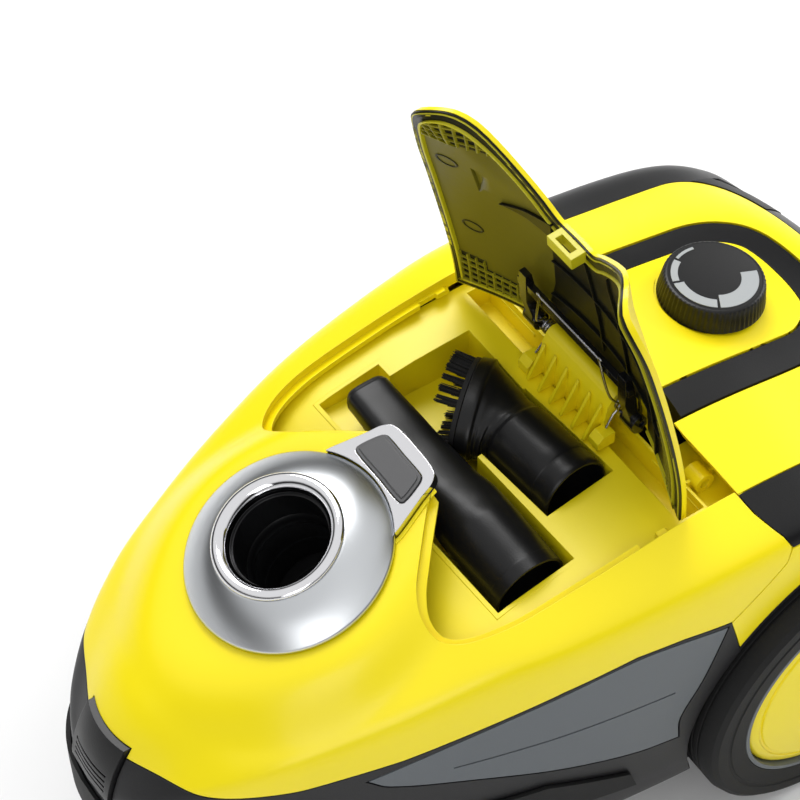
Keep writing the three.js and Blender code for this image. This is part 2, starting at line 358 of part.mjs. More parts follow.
function loftGen(secs, seg) {        // secs: [centre, half axis U, half axis V]
  const pos = [], idx = [];
  for (const [c, U, V] of secs) for (let i = 0; i < seg; i++) {
    const t = i / seg * Math.PI * 2, a = Math.cos(t), b = Math.sin(t);
    for (let k = 0; k < 3; k++) pos.push(c[k] + a * U[k] + b * V[k]);
  }
  for (let k = 0; k < secs.length - 1; k++) for (let i = 0; i < seg; i++) { const a = k * seg + i, b = k * seg + (i + 1) % seg; idx.push(a, b, a + seg, b, b + seg, a + seg); }
  for (const k of [0, secs.length - 1]) { pos.push(...secs[k][0]); const c = pos.length / 3 - 1; for (let i = 0; i < seg; i++) idx.push(...(k ? [c, k * seg + i, k * seg + (i + 1) % seg] : [c, k * seg + (i + 1) % seg, k * seg + i])); }
  const g = new THREE.BufferGeometry(); g.setAttribute('position', new THREE.BufferAttribute(new Float32Array(pos), 3)); g.setIndex(idx);
  return solid(g);
}
{
  // head: an oval dish turned away from the tube; HN is the way the bristles point
  const HC = [-25.5, 106, -4.5], HU = [0.83, -0.558, 0], HN = [-0.558, -0.83, 0];
  const T0 = [37.5, 116.6, -4.6], T1 = [-2, 113.6, -4.6], TU = [0.076, -0.997, 0];
  const at = (d, du = 0) => [HC[0] - HN[0] * d + HU[0] * du, HC[1] - HN[1] * d + HU[1] * du, HC[2]];
  const sec = (c, u, a, b) => { const l = Math.hypot(u[0], u[1]); return [c, [u[0] / l * a, u[1] / l * a, 0], [0, 0, b]]; };
  const mixp = (a, b, t) => [0, 1, 2].map(k => a[k] * (1 - t) + b[k] * t), mixu = t => [HU[0] * (1 - t) + TU[0] * t, HU[1] * (1 - t) + TU[1] * t, 0];
  const tube = t => mixp(T0, T1, t);
  const out = loftGen([sec(at(0), HU, 25, 17), sec(at(5.6), HU, 25.4, 17.2), sec(at(7.2, 0.6), HU, 23, 16.2), sec(mixp(at(9, 3), T1, 0.35), mixu(0.35), 19.5, 14.6),
    sec(mixp(at(9, 3), T1, 0.75), mixu(0.75), 16.2, 14.4), sec(tube(1), TU, 15.6, 15.2), sec(tube(0.93), TU, 16.4, 16.4), sec(tube(0), TU, 16.5, 16.5)], 16);
  const inn = loftGen([sec(at(-2), HU, 19, 11.4), sec(at(6.5, 0.6), HU, 18.5, 11.4), sec(mixp(at(9, 3), T1, 0.4), mixu(0.4), 15.4, 12), sec(mixp(at(9, 3), T1, 0.8), mixu(0.8), 13.4, 12.4),
    sec(tube(0.93), TU, 14.2, 14.2), sec(tube(0.85), TU, 14.9, 14.9), sec(tube(-0.06), TU, 14.9, 14.9)], 16);
  put('brush_tool', out.subtract(inn), BLACK());
  let br = loftGen([sec(at(-2.6), HU, 24.4, 16.4), sec(at(-0.4), HU, 24.4, 16.4)], 16).subtract(loftGen([sec(at(-4), HU, 19.6, 12), sec(at(2), HU, 19.6, 12)], 16));
  for (let i = 0; i < 16; i++) {
    const t = (i + 0.5) / 16 * Math.PI * 2, cu = 21.6 * Math.cos(t), cv = 14 * Math.sin(t);
    if (cu > 8) continue;             // worn away where the crevice tool lies against them
    const g = new THREE.CylinderGeometry(1.7, 1.2, 12.5, 5, 1);
    const ax = new THREE.Vector3(...HN).addScaledVector(new THREE.Vector3(...HU), cu * 0.008); ax.z += cv * 0.014; ax.normalize();
    const q = new THREE.Quaternion().setFromUnitVectors(new THREE.Vector3(0, 1, 0), ax);
    const base = at(-1.5, cu);
    g.translate(0, 6.25, 0); g.applyQuaternion(q); g.translate(base[0], base[1], base[2] + cv);
    br = br.add(solid(g));
  }
  put('brush_bristles', br, RUBBER());
}
// ================================================================ REAR HOUSING
const DECK = mirrorX([[0, 100], [83, 100], [83, 254], [80.5, 264], [74, 272], [64, 277.5], [50, 280], [0, 281.5]]);   // top panel in plan
const bandLow = [[100, -1], [173, -4.6], [200, -5.4], [230, -7.4], [262, -14], [290, -24], [312, -30]];
const bandCut = (g) => prismX([...shift(bandLow, 0, -g), [312, 60], [100, 60]], -130, 130).subtract(prismZ(grow(DECK, -g), -60, 70));
const U_OUT = mirrorX([[0, 150], [46, 150], [46, 232], [44, 243], [39, 252.5], [31, 260], [20, 264], [0, 265.5]]);
const U_IN = mirrorX([[0, 140], [32, 140], [32, 231], [30, 239], [25, 246], [18, 250], [0, 251.5]]);
const archCut = (r, x = 95.6) => union([cylX(r, x, 140, WHEEL.y, WHEEL.z, 36), cylX(r, -140, -x, WHEEL.y, WHEEL.z, 36)]);
const pedalBox = (s, e) => prismZ([[s * (40 - e), 276 - e], [s * (80 + e), 262 - e], [s * (96 + e), 278 + e], [s * (80 + e), 300 + e], [s * (40 - e), 310]], -29 + 0 - e, 40);
{
  const bandZone = prismX([...bandLow, [312, 60], [100, 60]], -130, 130);
  let rear = layer(0, WALL).intersect(rearCut).intersect(prismZ(DECK, -60, 70)).intersect(bandZone);
  // handle recess
  const uo = prismZ(grow(U_OUT, 1.2), -60, 70).subtract(prismZ(grow(U_IN, -0.8), -60, 70));
  const uw = prismZ(grow(U_OUT, 3.4), -60, 70).subtract(prismZ(grow(U_IN, -2.8), -60, 70));
  rear = rear.add(layer(0.3, 11.4).intersect(uw).intersect(rearCut)).subtract(uo.subtract(skin(9.2)));
  // knob shaft hole and pedal openings
  const kn = tr(0, KNOB.y, KNOB.z).multiply(rx(KNOB.tilt));
  rear = rear.subtract(prismZ(grow(U_IN, -3), -60, 70).intersect(skin(-5)).subtract(skin(9)).intersect(rearCut).intersect(box(-130, 130, 158.5, 320, -60, 60)));
  // hinge ears for the hood and pivot ears for the handle
  for (const s of [1, -1]) {
    const X = (a, b) => [Math.min(s * a, s * b), Math.max(s * a, s * b)];
    const [f0, f1] = X(47.4, 50);
    rear = rear.add(prismX([[163, 14], [168.5, 12.8], [174, 15], [178, 22], [178, 40], [163, 40]], f0, f1).intersect(skin(1)));
    rear = rear.subtract(cylX(2.1, Math.min(s * 40, s * 51), Math.max(s * 40, s * 51), ...HANDLE_AXIS, 14));
    rear = rear.subtract(box(Math.min(s * 31.2, s * 47.2), Math.max(s * 31.2, s * 47.2), 150, 172.9, -20, 40));
  }
  // relief over the tail of the lid when the hood is raised
  rear = rear.subtract(box(-29.1, 29.1, 150, 158.6, 10, 40));
  put('rear_deck', rear, YELLOW(), 0.22);
  let skirt = layer(0, WALL).intersect(rearCut).subtract(prismX([...shift(bandLow, 0, -0.5), [312, 60], [100, 60]], -130, 130)).subtract(archCut(ARCH_R + 2.6, 92.6));
  skirt = skirt.subtract(cyl(8.6, -20, 14, 20, tr(64, 292, -66).multiply(rx(90))));
  put('rear_housing', skirt, YELLOW(), 0.22);
  // shoulder band, with the two pedals let into its rear corners
  let b = layer(0, WALL).intersect(rearCut).intersect(bandZone).subtract(prismZ(grow(DECK, 0.5), -60, 70));
  for (const s of [1, -1]) b = b.subtract(prismZ([[s * 41, 255], [s * 79, 255], [s * 79, 292], [s * 41, 292]], -11.8, 40));
  put('shoulder_band', b, BLACK(), 0.22);
  for (const [s, n] of [[1, 'power_pedal'], [-1, 'rewind_pedal']]) {
    const area = prismZ([[s * 41.6, 255], [s * 78.4, 255], [s * 78.4, 291.4], [s * 41.6, 291.4]], -7.8, 40).subtract(prismZ(grow(DECK, 0.9), -60, 70));
    let p = layer(-0.3, 2.3).intersect(area);
    put(n, p, DARK());
  }
}
{ // panel under the knob, framed by the handle
  let p = layer(0, WALL).intersect(prismZ(grow(U_IN, -3.2), -60, 70)).intersect(rearCut).intersect(box(-60, 60, 159.2, 300, -60, 60));
  const kn = tr(0, KNOB.y, KNOB.z).multiply(rx(KNOB.tilt));
  p = p.subtract(cyl(4.2, -20, 20, 18, kn)).subtract(cyl(24.6, 0.5, 20, 28, kn));
  // notch over the hood hinge, with the two ears that carry its pin
  p = p.subtract(box(-13.8, 13.8, 150, 165.4, -10, 40));
  for (const s of [1, -1]) p = p.add(prismX([[159.4, 22.6], [163.6, 22.6], [168, 25], [168, 28], [159.4, 28]], Math.min(s * 13.8, s * 17), Math.max(s * 13.8, s * 17)).intersect(skin(0.8)));
  p = p.subtract(cylX(1.6, -20, 20, ...HOOD_AXIS, 14));
  put('hood_hinge_pin', cylX(1.5, -16.8, 16.8, ...HOOD_AXIS, 14), STEEL());
  put('control_panel', p, YELLOW());
  const seg = 20;
  let k = lathe([[0, 0.9], [23.4, 0.9], [23.6, 2.4], [22.2, KNOB.h - 1.4], [20.6, KNOB.h], [18.6, KNOB.h], [18.6, KNOB.h - 0.8], [14, KNOB.h - 0.8], [14, KNOB.h], [0, KNOB.h]], seg, kn);
  k = k.subtract(cyl(3.1, -2, 8, 16, kn));
  put('knob', k, BLACK());
  put('knob_shaft', cyl(3, -14, 7.6, 16, kn).add(lathe([[0, -14], [9, -14], [9, -5.4], [0, -5.4]], 16, kn)), STEEL());
  // loudness-style scale: one ring whose raised segments grow in width
  let sc = lathe([[14.5, KNOB.h - 0.6], [18.2, KNOB.h - 0.6], [18.2, KNOB.h - 0.4], [14.5, KNOB.h - 0.4], [14.5, KNOB.h - 0.6]], seg, kn);
  for (const [a0, a1, r0] of [[100, 162, 16.6], [168, 226, 16.0], [232, 300, 15.4], [306, 380, 14.7]]) {
    const s = []; for (let i = 0; i <= 4; i++) { const a = (a0 + (a1 - a0) * i / 4) * Math.PI / 180; s.push([18.1 * Math.cos(a), 18.1 * Math.sin(a)]); }
    for (let i = 4; i >= 0; i--) { const a = (a0 + (a1 - a0) * i / 4) * Math.PI / 180; s.push([r0 * Math.cos(a), r0 * Math.sin(a)]); }
    const g = ex(s, 0.6); g.translate(0, 0, KNOB.h - 0.5); g.applyMatrix4(kn); sc = sc.add(solid(g));
  }
  put('knob_scale', sc, mat(0xa2a6a9, 0.4));
}
{ // carrying handle lying in its recess
  let h = layer(0.3, 7.6).intersect(prismZ(U_OUT, -60, 70).subtract(prismZ(U_IN, -60, 70))).intersect(box(-60, 60, 161.6, 320, -60, 70));
  h = h.intersect(prismX([[161, 14], [163, 11.8], [168.5, 10.4], [176, 10.4], [330, -30], [330, 60], [166, 60], [162.4, 24], [161, 18]], -70, 70));
  for (const s of [1, -1]) h = h.add(cylX(1.95, Math.min(s * 40, s * 48.8), Math.max(s * 40, s * 48.8), ...HANDLE_AXIS, 12));
  put('carry_handle', h, BLACK());
}
// ================================================================ LOWER HOUSING
const WING = [[141, -32.4], [120, -29.4], [98, -28.2], [66, -33.2], [30, -41.8], [2, -50], [-14, -55.5], [-6, -62], [30, -74], [70, -88], [104, -98], [123, -100], [122, -84], [131, -62]];
const BUMP = [[-110, -92], [60, -96], [100, -112], [104, -124], [60, -118], [-110, -116]];
{
  let low = layer(0, WALL).intersect(lowerCut).subtract(prismX(grow(WING, 0.5), -130, 130));
  // wheel arches
  const arch = union([cylX(ARCH_R + 2.1, 93.2, 120, WHEEL.y, WHEEL.z, 36), cylX(ARCH_R + 2.1, -120, -93.2, WHEEL.y, WHEEL.z, 36)]).intersect(skin(0.2));
  low = low.add(arch).subtract(archCut(ARCH_R));
  // axle bosses
  low = low.add(cylX(11, 78, 95.4, WHEEL.y, WHEEL.z, 24)).add(cylX(11, -95.4, -78, WHEEL.y, WHEEL.z, 24));
  low = low.subtract(cylX(5.05, 80, 99, WHEEL.y, WHEEL.z, 20)).subtract(cylX(5.05, -99, -80, WHEEL.y, WHEEL.z, 20));
  // bulkhead between the bag chamber and the motor
  low = low.add(prismX([[121, -168.4], [124, -168.4], [124, -34], [121, -34]], -112, 112).intersect(skin(1)).subtract(prismX(grow(WING, 0.7), -130, 130).subtract(skin(3.0))));
  // caster pocket
  low = low.add(cyl(CASTER.pocket + 2.4, -168.2, -144.6, 32, tr(0, CASTER.y, 0))).subtract(cyl(CASTER.pocket, -180, -147, 32, tr(0, CASTER.y, 0))).subtract(cyl(4.1, -150, -140, 16, tr(0, CASTER.y, 0)));
  // exhaust opening at the back, cord outlet and catch recess at the nose
  low = low.subtract(box(-44, 44, 280, 310, -132, -102));
  low = low.subtract(box(-15.6, 15.6, -104, -86, -82.6, -50));
  put('lower_housing', low, DARK(), 0.22);
  const wing = s => layer(0, WALL).intersect(prismX(WING, Math.min(s * 40, s * 130), Math.max(s * 40, s * 130))).subtract(archCut(ARCH_R + 2.6));
  put('side_panel_right', wing(1), GREY()); put('side_panel_left', wing(-1), GREY());
  put('base_bumper', layer(-2.0, -0.4).intersect(prismX(BUMP, -130, 130)), RUBBER());
  // sealing lip of the bag chamber
  const lip = [...SILL.slice(1).map(q => [q[0], q[1] - 5]), ...SILL.slice(1).reverse().map(q => [q[0], q[1] + 4])];
  put('chamber_seal', layer(5.6, 8.6).intersect(prismX(lip, -130, 130)).intersect(box(-130, 130, -110, 118, -80, 0)), RUBBER(), 0.4);
  put('front_latch', layer(-1.6, 2.0).intersect(prismX([[-110, -82], [-86.4, -82], [-86.4, -52], [-110, -52]], -15, 15)), BLACK());
}
// ================================================================ RUNNING GEAR
for (const [s, n] of [[1, 'right'], [-1, 'left']]) {
  const at = tr(0, WHEEL.y, WHEEL.z).multiply(ry(90 * s));
  const { r, rim, x0, x1 } = WHEEL;
  put('tyre_' + n, lathe([[rim, x0 + 1], [r - 4, x0], [r, x0 + 6], [r, x1 - 6], [r - 4, x1], [rim, x1 - 0.6], [rim, x0 + 1]], 36, at), RUBBER());
  put('rim_' + n, lathe([[5.1, x0 + 1], [13, x0 + 1], [13, 109], [rim - 3.4, 111], [rim - 3.4, x0 + 4], [rim - 0.3, x0 + 4], [rim - 0.3, x1 - 0.6], [rim - 2.2, x1 - 0.6], [rim - 2.2, 113.8], [5.1, 113.8], [5.1, x0 + 1]], 22, at), GREY());
  put('wheel_cap_' + n, lathe([[0, 114.6], [rim - 2.6, 114.6], [rim - 2.6, 120.4], [rim - 4.8, 122.6], [36, 125.4], [0, 126]], 22, at), YELLOW());
  put('axle_' + n, cylX(5, Math.min(s * 81, s * 113), Math.max(s * 81, s * 113), WHEEL.y, WHEEL.z, 20), STEEL());
}
{
  const y = CASTER.y, ya = y + CASTER.trail, za = FLOOR + CASTER.r;
  let f = cyl(4, -151, -138.6, 16, tr(0, y, 0)).add(lathe([[0, -141.4], [6, -141.4], [6, -138.6], [0, -138.6]], 16, tr(0, y, 0))).add(cyl(14, -150.6, -147.6, 24, tr(0, y, 0)));
  for (const s of [1, -1]) f = f.add(prismX([[y - 9, -150], [y + 16, -150], [ya + 5.5, za - 2], [ya + 3, za - 5], [ya - 3, za - 5], [ya - 6, za - 1]], Math.min(s * 8.2, s * 10.8), Math.max(s * 8.2, s * 10.8)));
  f = f.add(box(-10.8, 10.8, y - 9, y + 12, -150.4, -148.4)).add(cylX(2.2, -10, 10, ya, za, 14));
  f = f.subtract(cylX(19.8, -7.8, 7.8, ya, za, 28).subtract(cylX(2.2, -20, 20, ya, za, 14)));
  put('caster_fork', f, DARK());
  put('caster_wheel', lathe([[2.3, -6.6], [17, -6.6], [CASTER.r, -4.6], [CASTER.r, 4.6], [17, 6.6], [2.3, 6.6], [2.3, -6.6]], 28, tr(0, ya, za).multiply(AXX)), RUBBER());
}
// ================================================================ INSIDE
{
  // paper bag hanging on its holder
  const g = new THREE.SphereGeometry(1, 16, 10); g.rotateX(Math.PI / 2); g.scale(66, 74, 40); g.translate(0, 26, -112);
  put('dust_bag', solid(g).intersect(box(-64, 64, -46, 96, -142, -74)), mat(0xe9e4d6, 0.95));
  const lay = (o, z0, z1) => { const q = ex(o, z1 - z0); q.translate(0, 0, z0); q.applyMatrix4(DISC); return solid(q); };
  put('bag_holder', lay([[-44, -38], [44, -38], [44, 27], [-44, 27]], -49.4, -46.4).subtract(cyl(15.4, -60, -40, 28, DISC)), mat(0x2f3133, 0.6));
  // motor, fan and mounts behind the bulkhead, axis front to back
  const M = tr(0, 0, -84).multiply(rx(-90));            // local +Z to +Y
  put('motor_housing', lathe([[46, 146], [59, 149], [59, 186], [47, 190], [47, 237], [20, 237], [20, 234], [44, 234], [44, 187], [57, 183], [57, 152], [46, 149], [46, 146]], 14, M), DARK());
  put('fan_rotor', lathe([[0, 153], [50, 153], [51, 155], [30, 168], [8, 172], [8, 186], [28, 188], [28, 226], [8, 228], [8, 243], [0, 243]], 16, M), mat(0xb87333, 0.4, 0.8));
  put('motor_mount_front', lathe([[38, 125], [54, 125], [54, 131], [53, 145.6], [46, 145.6], [38, 131], [38, 125]], 20, M), RUBBER());
  put('motor_filter', box(-62, 62, 113, 120, -146, -44), mat(0xd8dde0, 0.95));
  // grille bars in the rear opening
  let gr = box(-43.4, 43.4, 281, 291, -131.4, -102.6).intersect(layer(0.2, 3.2).add(layer(2, 5)));
  gr = layer(0, 2.6).intersect(box(-43.4, 43.4, 270, 310, -131.4, -102.6));
  for (let i = 0; i < 6; i++) gr = gr.subtract(box(-39, 39, 270, 310, -128.6 + i * 4.4, -126.4 + i * 4.4));
  put('exhaust_grille', gr, BLACK());
  // cord reel on the left of the motor
  const R = tr(0, WHEEL.y, -96).multiply(ry(90));
  put('cord_drum', lathe([[6.2, -76], [30, -76], [30, -75], [24, -75], [24, -66.4], [30, -66.4], [30, -65], [6.2, -65], [6.2, -76]].map(q => [q[0] * 1, q[1]]), 18, tr(0, 255, -62).multiply(ry(90))), MID());
  put('reel_spindle', cylX(6, -78.4, -63, 255, -62, 20), STEEL());
  put('circuit_board', box(-28, 28, 176, 206, -8.4, -6.8).add(box(-20, -4, 182, 194, -7, -1)).add(cyl(5, -7, 1.5, 16, tr(14, 186, 0))), mat(0x1f6b3a, 0.5));
  put('cord_outlet', lathe([[3.6, -8], [5, -8], [5, 1.6], [8, 2.2], [8, 4.4], [3.6, 3.4], [3.6, -8]], 20, tr(64, 291.5, -66).multiply(rx(-90))), BLACK());
}
export default group;
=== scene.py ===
import math
import random

import bmesh
import bpy
import numpy as np
from mathutils import Matrix, Vector


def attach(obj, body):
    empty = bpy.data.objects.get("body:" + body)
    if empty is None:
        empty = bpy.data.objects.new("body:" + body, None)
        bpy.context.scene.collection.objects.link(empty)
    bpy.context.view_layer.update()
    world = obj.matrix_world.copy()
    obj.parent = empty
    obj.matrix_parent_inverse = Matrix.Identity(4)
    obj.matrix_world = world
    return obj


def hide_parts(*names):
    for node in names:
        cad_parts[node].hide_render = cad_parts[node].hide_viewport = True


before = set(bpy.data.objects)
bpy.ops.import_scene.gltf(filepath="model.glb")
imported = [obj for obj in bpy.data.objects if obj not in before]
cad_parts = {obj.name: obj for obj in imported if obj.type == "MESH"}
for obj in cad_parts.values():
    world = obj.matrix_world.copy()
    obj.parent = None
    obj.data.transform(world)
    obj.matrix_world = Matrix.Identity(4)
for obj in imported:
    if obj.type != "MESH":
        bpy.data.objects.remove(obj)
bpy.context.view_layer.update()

random.seed(7)
rng = np.random.default_rng(7)
MM = 0.001
DATUM = Vector((0, -99, 191))
scene = bpy.context.scene

# ------------------------------------------------------------------ dimensions (mm, about the hose socket)
WALL, GAP, TILT_DEG, DISC_R, BORE_R, CONE_H = 2.6, 0.6, 19.5, 45.0, 20.7, 13.6
FLAP_OPEN, FLAP_AXIS, HOOD_AXIS, HANDLE_AXIS = 84.0, (148, 20), (161.5, 25.4), (168.5, 18.5)
WHEEL = dict(y=215, z=-108.5, r=82.5, rim=63.0, x0=98.6, x1=124.6)
ARCH_R = 85.5
KNOB = dict(y=214, z=22.5, h=12.5, tilt=-4.2)
CASTER = dict(y=-35, trail=14, r=19, pocket=36)
FLOOR = -191.0


# ------------------------------------------------------------------ solids
def tr(x, y, z):
    return Matrix.Translation((x, y, z))


def rx(d):
    return Matrix.Rotation(math.radians(d), 4, "X")


def ry(d):
    return Matrix.Rotation(math.radians(d), 4, "Y")


def rz(d):
    return Matrix.Rotation(math.radians(d), 4, "Z")


DISC = rx(TILT_DEG)
AXX = ry(90)


def mesh_of(verts, faces):
    me = bpy.data.meshes.new("m")
    me.from_pydata([tuple(v) for v in verts], [], faces)
    bm = bmesh.new()
    bm.from_mesh(me)
    bmesh.ops.recalc_face_normals(bm, faces=bm.faces)
    if bm.calc_volume(signed=True) < 0:
        bmesh.ops.reverse_faces(bm, faces=bm.faces)
    bm.to_mesh(me)
    bm.free()
    return me


class Solid:
    """A closed mesh with join (+), cut (-) and common part (&)."""

    def __init__(self, me):
        self.me = me

    def _op(self, other, kind):
        a = bpy.data.objects.new("a", self.me)
        b = bpy.data.objects.new("b", other.me)
        scene.collection.objects.link(a)
        scene.collection.objects.link(b)
        m = a.modifiers.new("b", "BOOLEAN")
        m.solver, m.operation, m.object = "MANIFOLD", kind, b
        dg = bpy.context.evaluated_depsgraph_get()
        out = bpy.data.meshes.new_from_object(a.evaluated_get(dg))
        bpy.data.objects.remove(a)
        bpy.data.objects.remove(b)
        return Solid(out)

    def __add__(self, o):
        return self._op(o, "UNION")

    def __sub__(self, o):
        return self._op(o, "DIFFERENCE")

    def __and__(self, o):
        return self._op(o, "INTERSECT")

    def move(self, m):
        me = self.me.copy()
        me.transform(m)
        if m.determinant() < 0:
            me.flip_normals()
        return Solid(me)


def union(xs):
    out = xs[0]
    for x in xs[1:]:
        out = out + x
    return out


def prism(pts, lo, hi, axes):
    n = len(pts)
    v = []
    for h in (lo, hi):
        for p in pts:
            v.append((p[0], p[1], h) if axes == "Z" else (h, p[0], p[1]))
    f = [list(range(n))[::-1], list(range(n, 2 * n))]
    f += [[i, (i + 1) % n, n + (i + 1) % n, n + i] for i in range(n)]
    return Solid(mesh_of(v, f))


def prismZ(pts, z0, z1):
    return prism(pts, z0, z1, "Z")


def prismX(pts, x0, x1):
    return prism(pts, min(x0, x1), max(x0, x1), "X")


def box(x0, x1, y0, y1, z0, z1):
    x0, x1 = min(x0, x1), max(x0, x1)
    return prismZ([(x0, y0), (x1, y0), (x1, y1), (x0, y1)], z0, z1)


def lathe(pts, seg=96, m=None, wave=None):
    """Profile (r, z) turned about Z; it starts and ends on the axis or closes on itself."""
    closed = pts[0] == pts[-1]
    P = pts[:-1] if closed else pts
    v, idx = [], []
    for k, (r, z) in enumerate(P):
        if r < 1e-6:
            idx.append([len(v)] * seg)
            v.append((0, 0, z))
        else:
            row = []
            for i in range(seg):
                a = 2 * math.pi * i / seg
                q = r if wave is None else wave(r, z, a)
                row.append(len(v))
                v.append((q * math.cos(a), q * math.sin(a), z))
            idx.append(row)
    f = []
    for k in range(len(P) if closed else len(P) - 1):
        a, b = idx[k], idx[(k + 1) % len(P)]
        for i in range(seg):
            j = (i + 1) % seg
            q = [a[i], a[j], b[j], b[i]]
            u = [x for t, x in enumerate(q) if x not in q[:t]]
            if len(u) > 2:
                f.append(u)
    s = Solid(mesh_of(v, f))
    return s.move(m) if m else s


def cyl(r, z0, z1, seg=64, m=None):
    return lathe([(0, z0), (r, z0), (r, z1), (0, z1)], seg, m)


def cylX(r, x0, x1, y, z, seg=64):
    return cyl(r, min(x0, x1), max(x0, x1), seg, tr(0, y, z) @ AXX)


def mirror_x(pts):
    return pts + [(-x, y) for x, y in reversed(pts) if abs(x) > 1e-6]


def grow(pts, d):
    n = len(pts)
    A = sum(pts[i][0] * pts[(i + 1) % n][1] - pts[(i + 1) % n][0] * pts[i][1] for i in range(n))
    s = 1 if A > 0 else -1
    out = []
    for i in range(n):
        a, b, c = pts[i - 1], pts[i], pts[(i + 1) % n]
        u = np.array(b, float) - a
        v = np.array(c, float) - b
        u, v = u / np.linalg.norm(u), v / np.linalg.norm(v)
        k = 1 + u @ v
        out.append((b[0] + (u[1] + v[1]) * s * d / max(k, 0.35), b[1] - (u[0] + v[0]) * s * d / max(k, 0.35)))
    return out


def curve(pts, sub=5, sharp=38):
    """Smooth closed outline through its points; corners sharper than `sharp` degrees stay."""
    n = len(pts)
    P = [np.array(p, float) for p in pts]

    def corner(i):
        u, v = P[i] - P[i - 1], P[(i + 1) % n] - P[i]
        c = u @ v / (np.linalg.norm(u) * np.linalg.norm(v))
        return math.degrees(math.acos(max(-1, min(1, c)))) > sharp

    out = []
    for i in range(n):
        b, c = P[i], P[(i + 1) % n]
        a = 2 * b - c if corner(i) else P[i - 1]
        d = 2 * c - b if corner((i + 1) % n) else P[(i + 2) % n]
        la, lc, lb = np.linalg.norm(b - a), np.linalg.norm(d - c), np.linalg.norm(c - b)
        ta = (c - a) / max(la + lb, 1e-9) * lb
        tb = (d - b) / max(lc + lb, 1e-9) * lb
        for m in range(sub):
            t = m / sub
            h = (2 * t**3 - 3 * t * t + 1, t**3 - 2 * t * t + t, -2 * t**3 + 3 * t * t, t**3 - t * t)
            q = h[0] * b + h[1] * ta + h[2] * c + h[3] * tb
            out.append((float(q[0]), float(q[1])))
    return out


# ------------------------------------------------------------------ body surface
ROWS = np.array([
    [-100.0, -84, 6, -118, -100, 5, 3], [-98.6, -71, 17, -134, -100, 9, 4], [-95.4, -61, 27, -145, -98, 13, 5],
    [-89.0, -50.5, 37.5, -153, -96, 17, 5.5], [-80.0, -39.5, 47, -159, -93, 20, 6], [-70.0, -31, 55, -163, -90, 21.5, 6],
    [-58.0, -22.8, 62.5, -165.5, -87, 22, 6], [-42.0, -15.0, 70.5, -167, -84, 22, 6], [-22.0, -7.8, 78, -168, -81, 22, 6],
    [0.0, 0.0, 85.5, -168.5, -79, 22.5, 6], [22.0, 7.8, 92, -169, -77, 23.5, 6.5], [45.0, 15.6, 98.2, -169, -76, 25, 7],
    [66.0, 20.0, 103.2, -169, -75, 26.5, 7], [90.0, 24.0, 107.6, -169, -75, 27.5, 7.5], [115.0, 27.3, 111.2, -169, -75, 28, 8],
    [140.0, 29.2, 114.0, -169, -75, 28, 8.5], [165.0, 29.0, 115.2, -169, -75, 28, 9], [190.0, 26.5, 115.8, -168, -76, 27, 9],
    [214.0, 22.5, 115.8, -166, -77, 26, 9], [236.0, 18.8, 115.0, -163, -78, 25, 9], [256.0, 15.2, 113.0, -159, -79, 24, 9],
    [272.0, 11.0, 109.0, -154, -80, 22.5, 9], [284.0, 5.0, 102.5, -148, -81, 20, 9], [292.0, -3.0, 94.0, -140, -82, 16, 8],
    [297.5, -16.0, 82.0, -130, -82, 11, 6], [300.0, -33.0, 66.0, -118, -82, 6, 4]])


def row_at(t):
    n = len(ROWS) - 1
    i = min(int(t), n - 1)
    f = t - i
    a, b, c, d = (ROWS[max(0, min(n, k))] for k in (i - 1, i, i + 1, i + 2))
    return 0.5 * (2 * b + (c - a) * f + (2 * a - 5 * b + 4 * c - d) * f * f + (3 * b - a - 3 * c + d) * f**3)


SUB = 8


def profile(row, d):
    y, T, W, B, M, c, s = row
    T, W, B, s, c = T - d, W - d, B + d, s + d * 0.15, c * (1 - d * 0.004)
    S, lo = W - s, M - B
    tgt = np.array([[0, T], [0.40 * S, T - 0.175 * c], [0.77 * S, T - 0.68 * c], [S + 2.5, T - c + 1],
                    [W - 0.28 * s, T - c - 0.30 * (T - c - M)], [W, M], [W - 0.12 * s, M - 0.38 * lo],
                    [W - 0.55 * s, B + 0.30 * lo], [W - 2.3 * s, B + 0.02 * lo], [0.45 * W, B], [0, B]])
    n = len(tgt)
    P = tgt.copy()

    def ext(P):
        lo_ = P[1] * [-1, 1]
        hi_ = P[n - 2] * [-1, 1]
        hi2 = P[n - 3] * [-1, 1]
        return np.vstack([lo_, P, hi_, hi2])

    keep = [0, 1, 2, 4, 5, 6, 7, 9, 10]
    for _ in range(4):
        E = ext(P)
        e = tgt - (E[0:n] + 4 * E[1:n + 1] + E[2:n + 2]) / 6
        P[keep] += e[keep]
    E = ext(P)
    out = []
    for k in range(n - 1):
        for m in range(SUB):
            f = m / SUB
            w = ((1 - f)**3 / 6, (3 * f**3 - 6 * f * f + 4) / 6, (-3 * f**3 + 3 * f * f + 3 * f + 1) / 6, f**3 / 6)
            out.append(w[0] * E[k] + w[1] * E[k + 1] + w[2] * E[k + 2] + w[3] * E[k + 3])
    out.append(np.array([0, P[n - 1][1] * 4 / 6 + P[n - 2][1] / 3]))
    out[0][0] = 0
    return out


TAN = math.tan(math.radians(TILT_DEG))


def sm(a, b, v):
    t = max(0.0, min(1.0, (v - a) / (b - a)))
    return t * t * (3 - 2 * t)


def seat(x, y, z, d):
    r, zp = math.hypot(x, y), TAN * y - 1.6 - d * 1.06
    if z < zp - 26:
        return z
    return z + (zp - z) * (1 - sm(48, 74, r))


STEP = 0.125


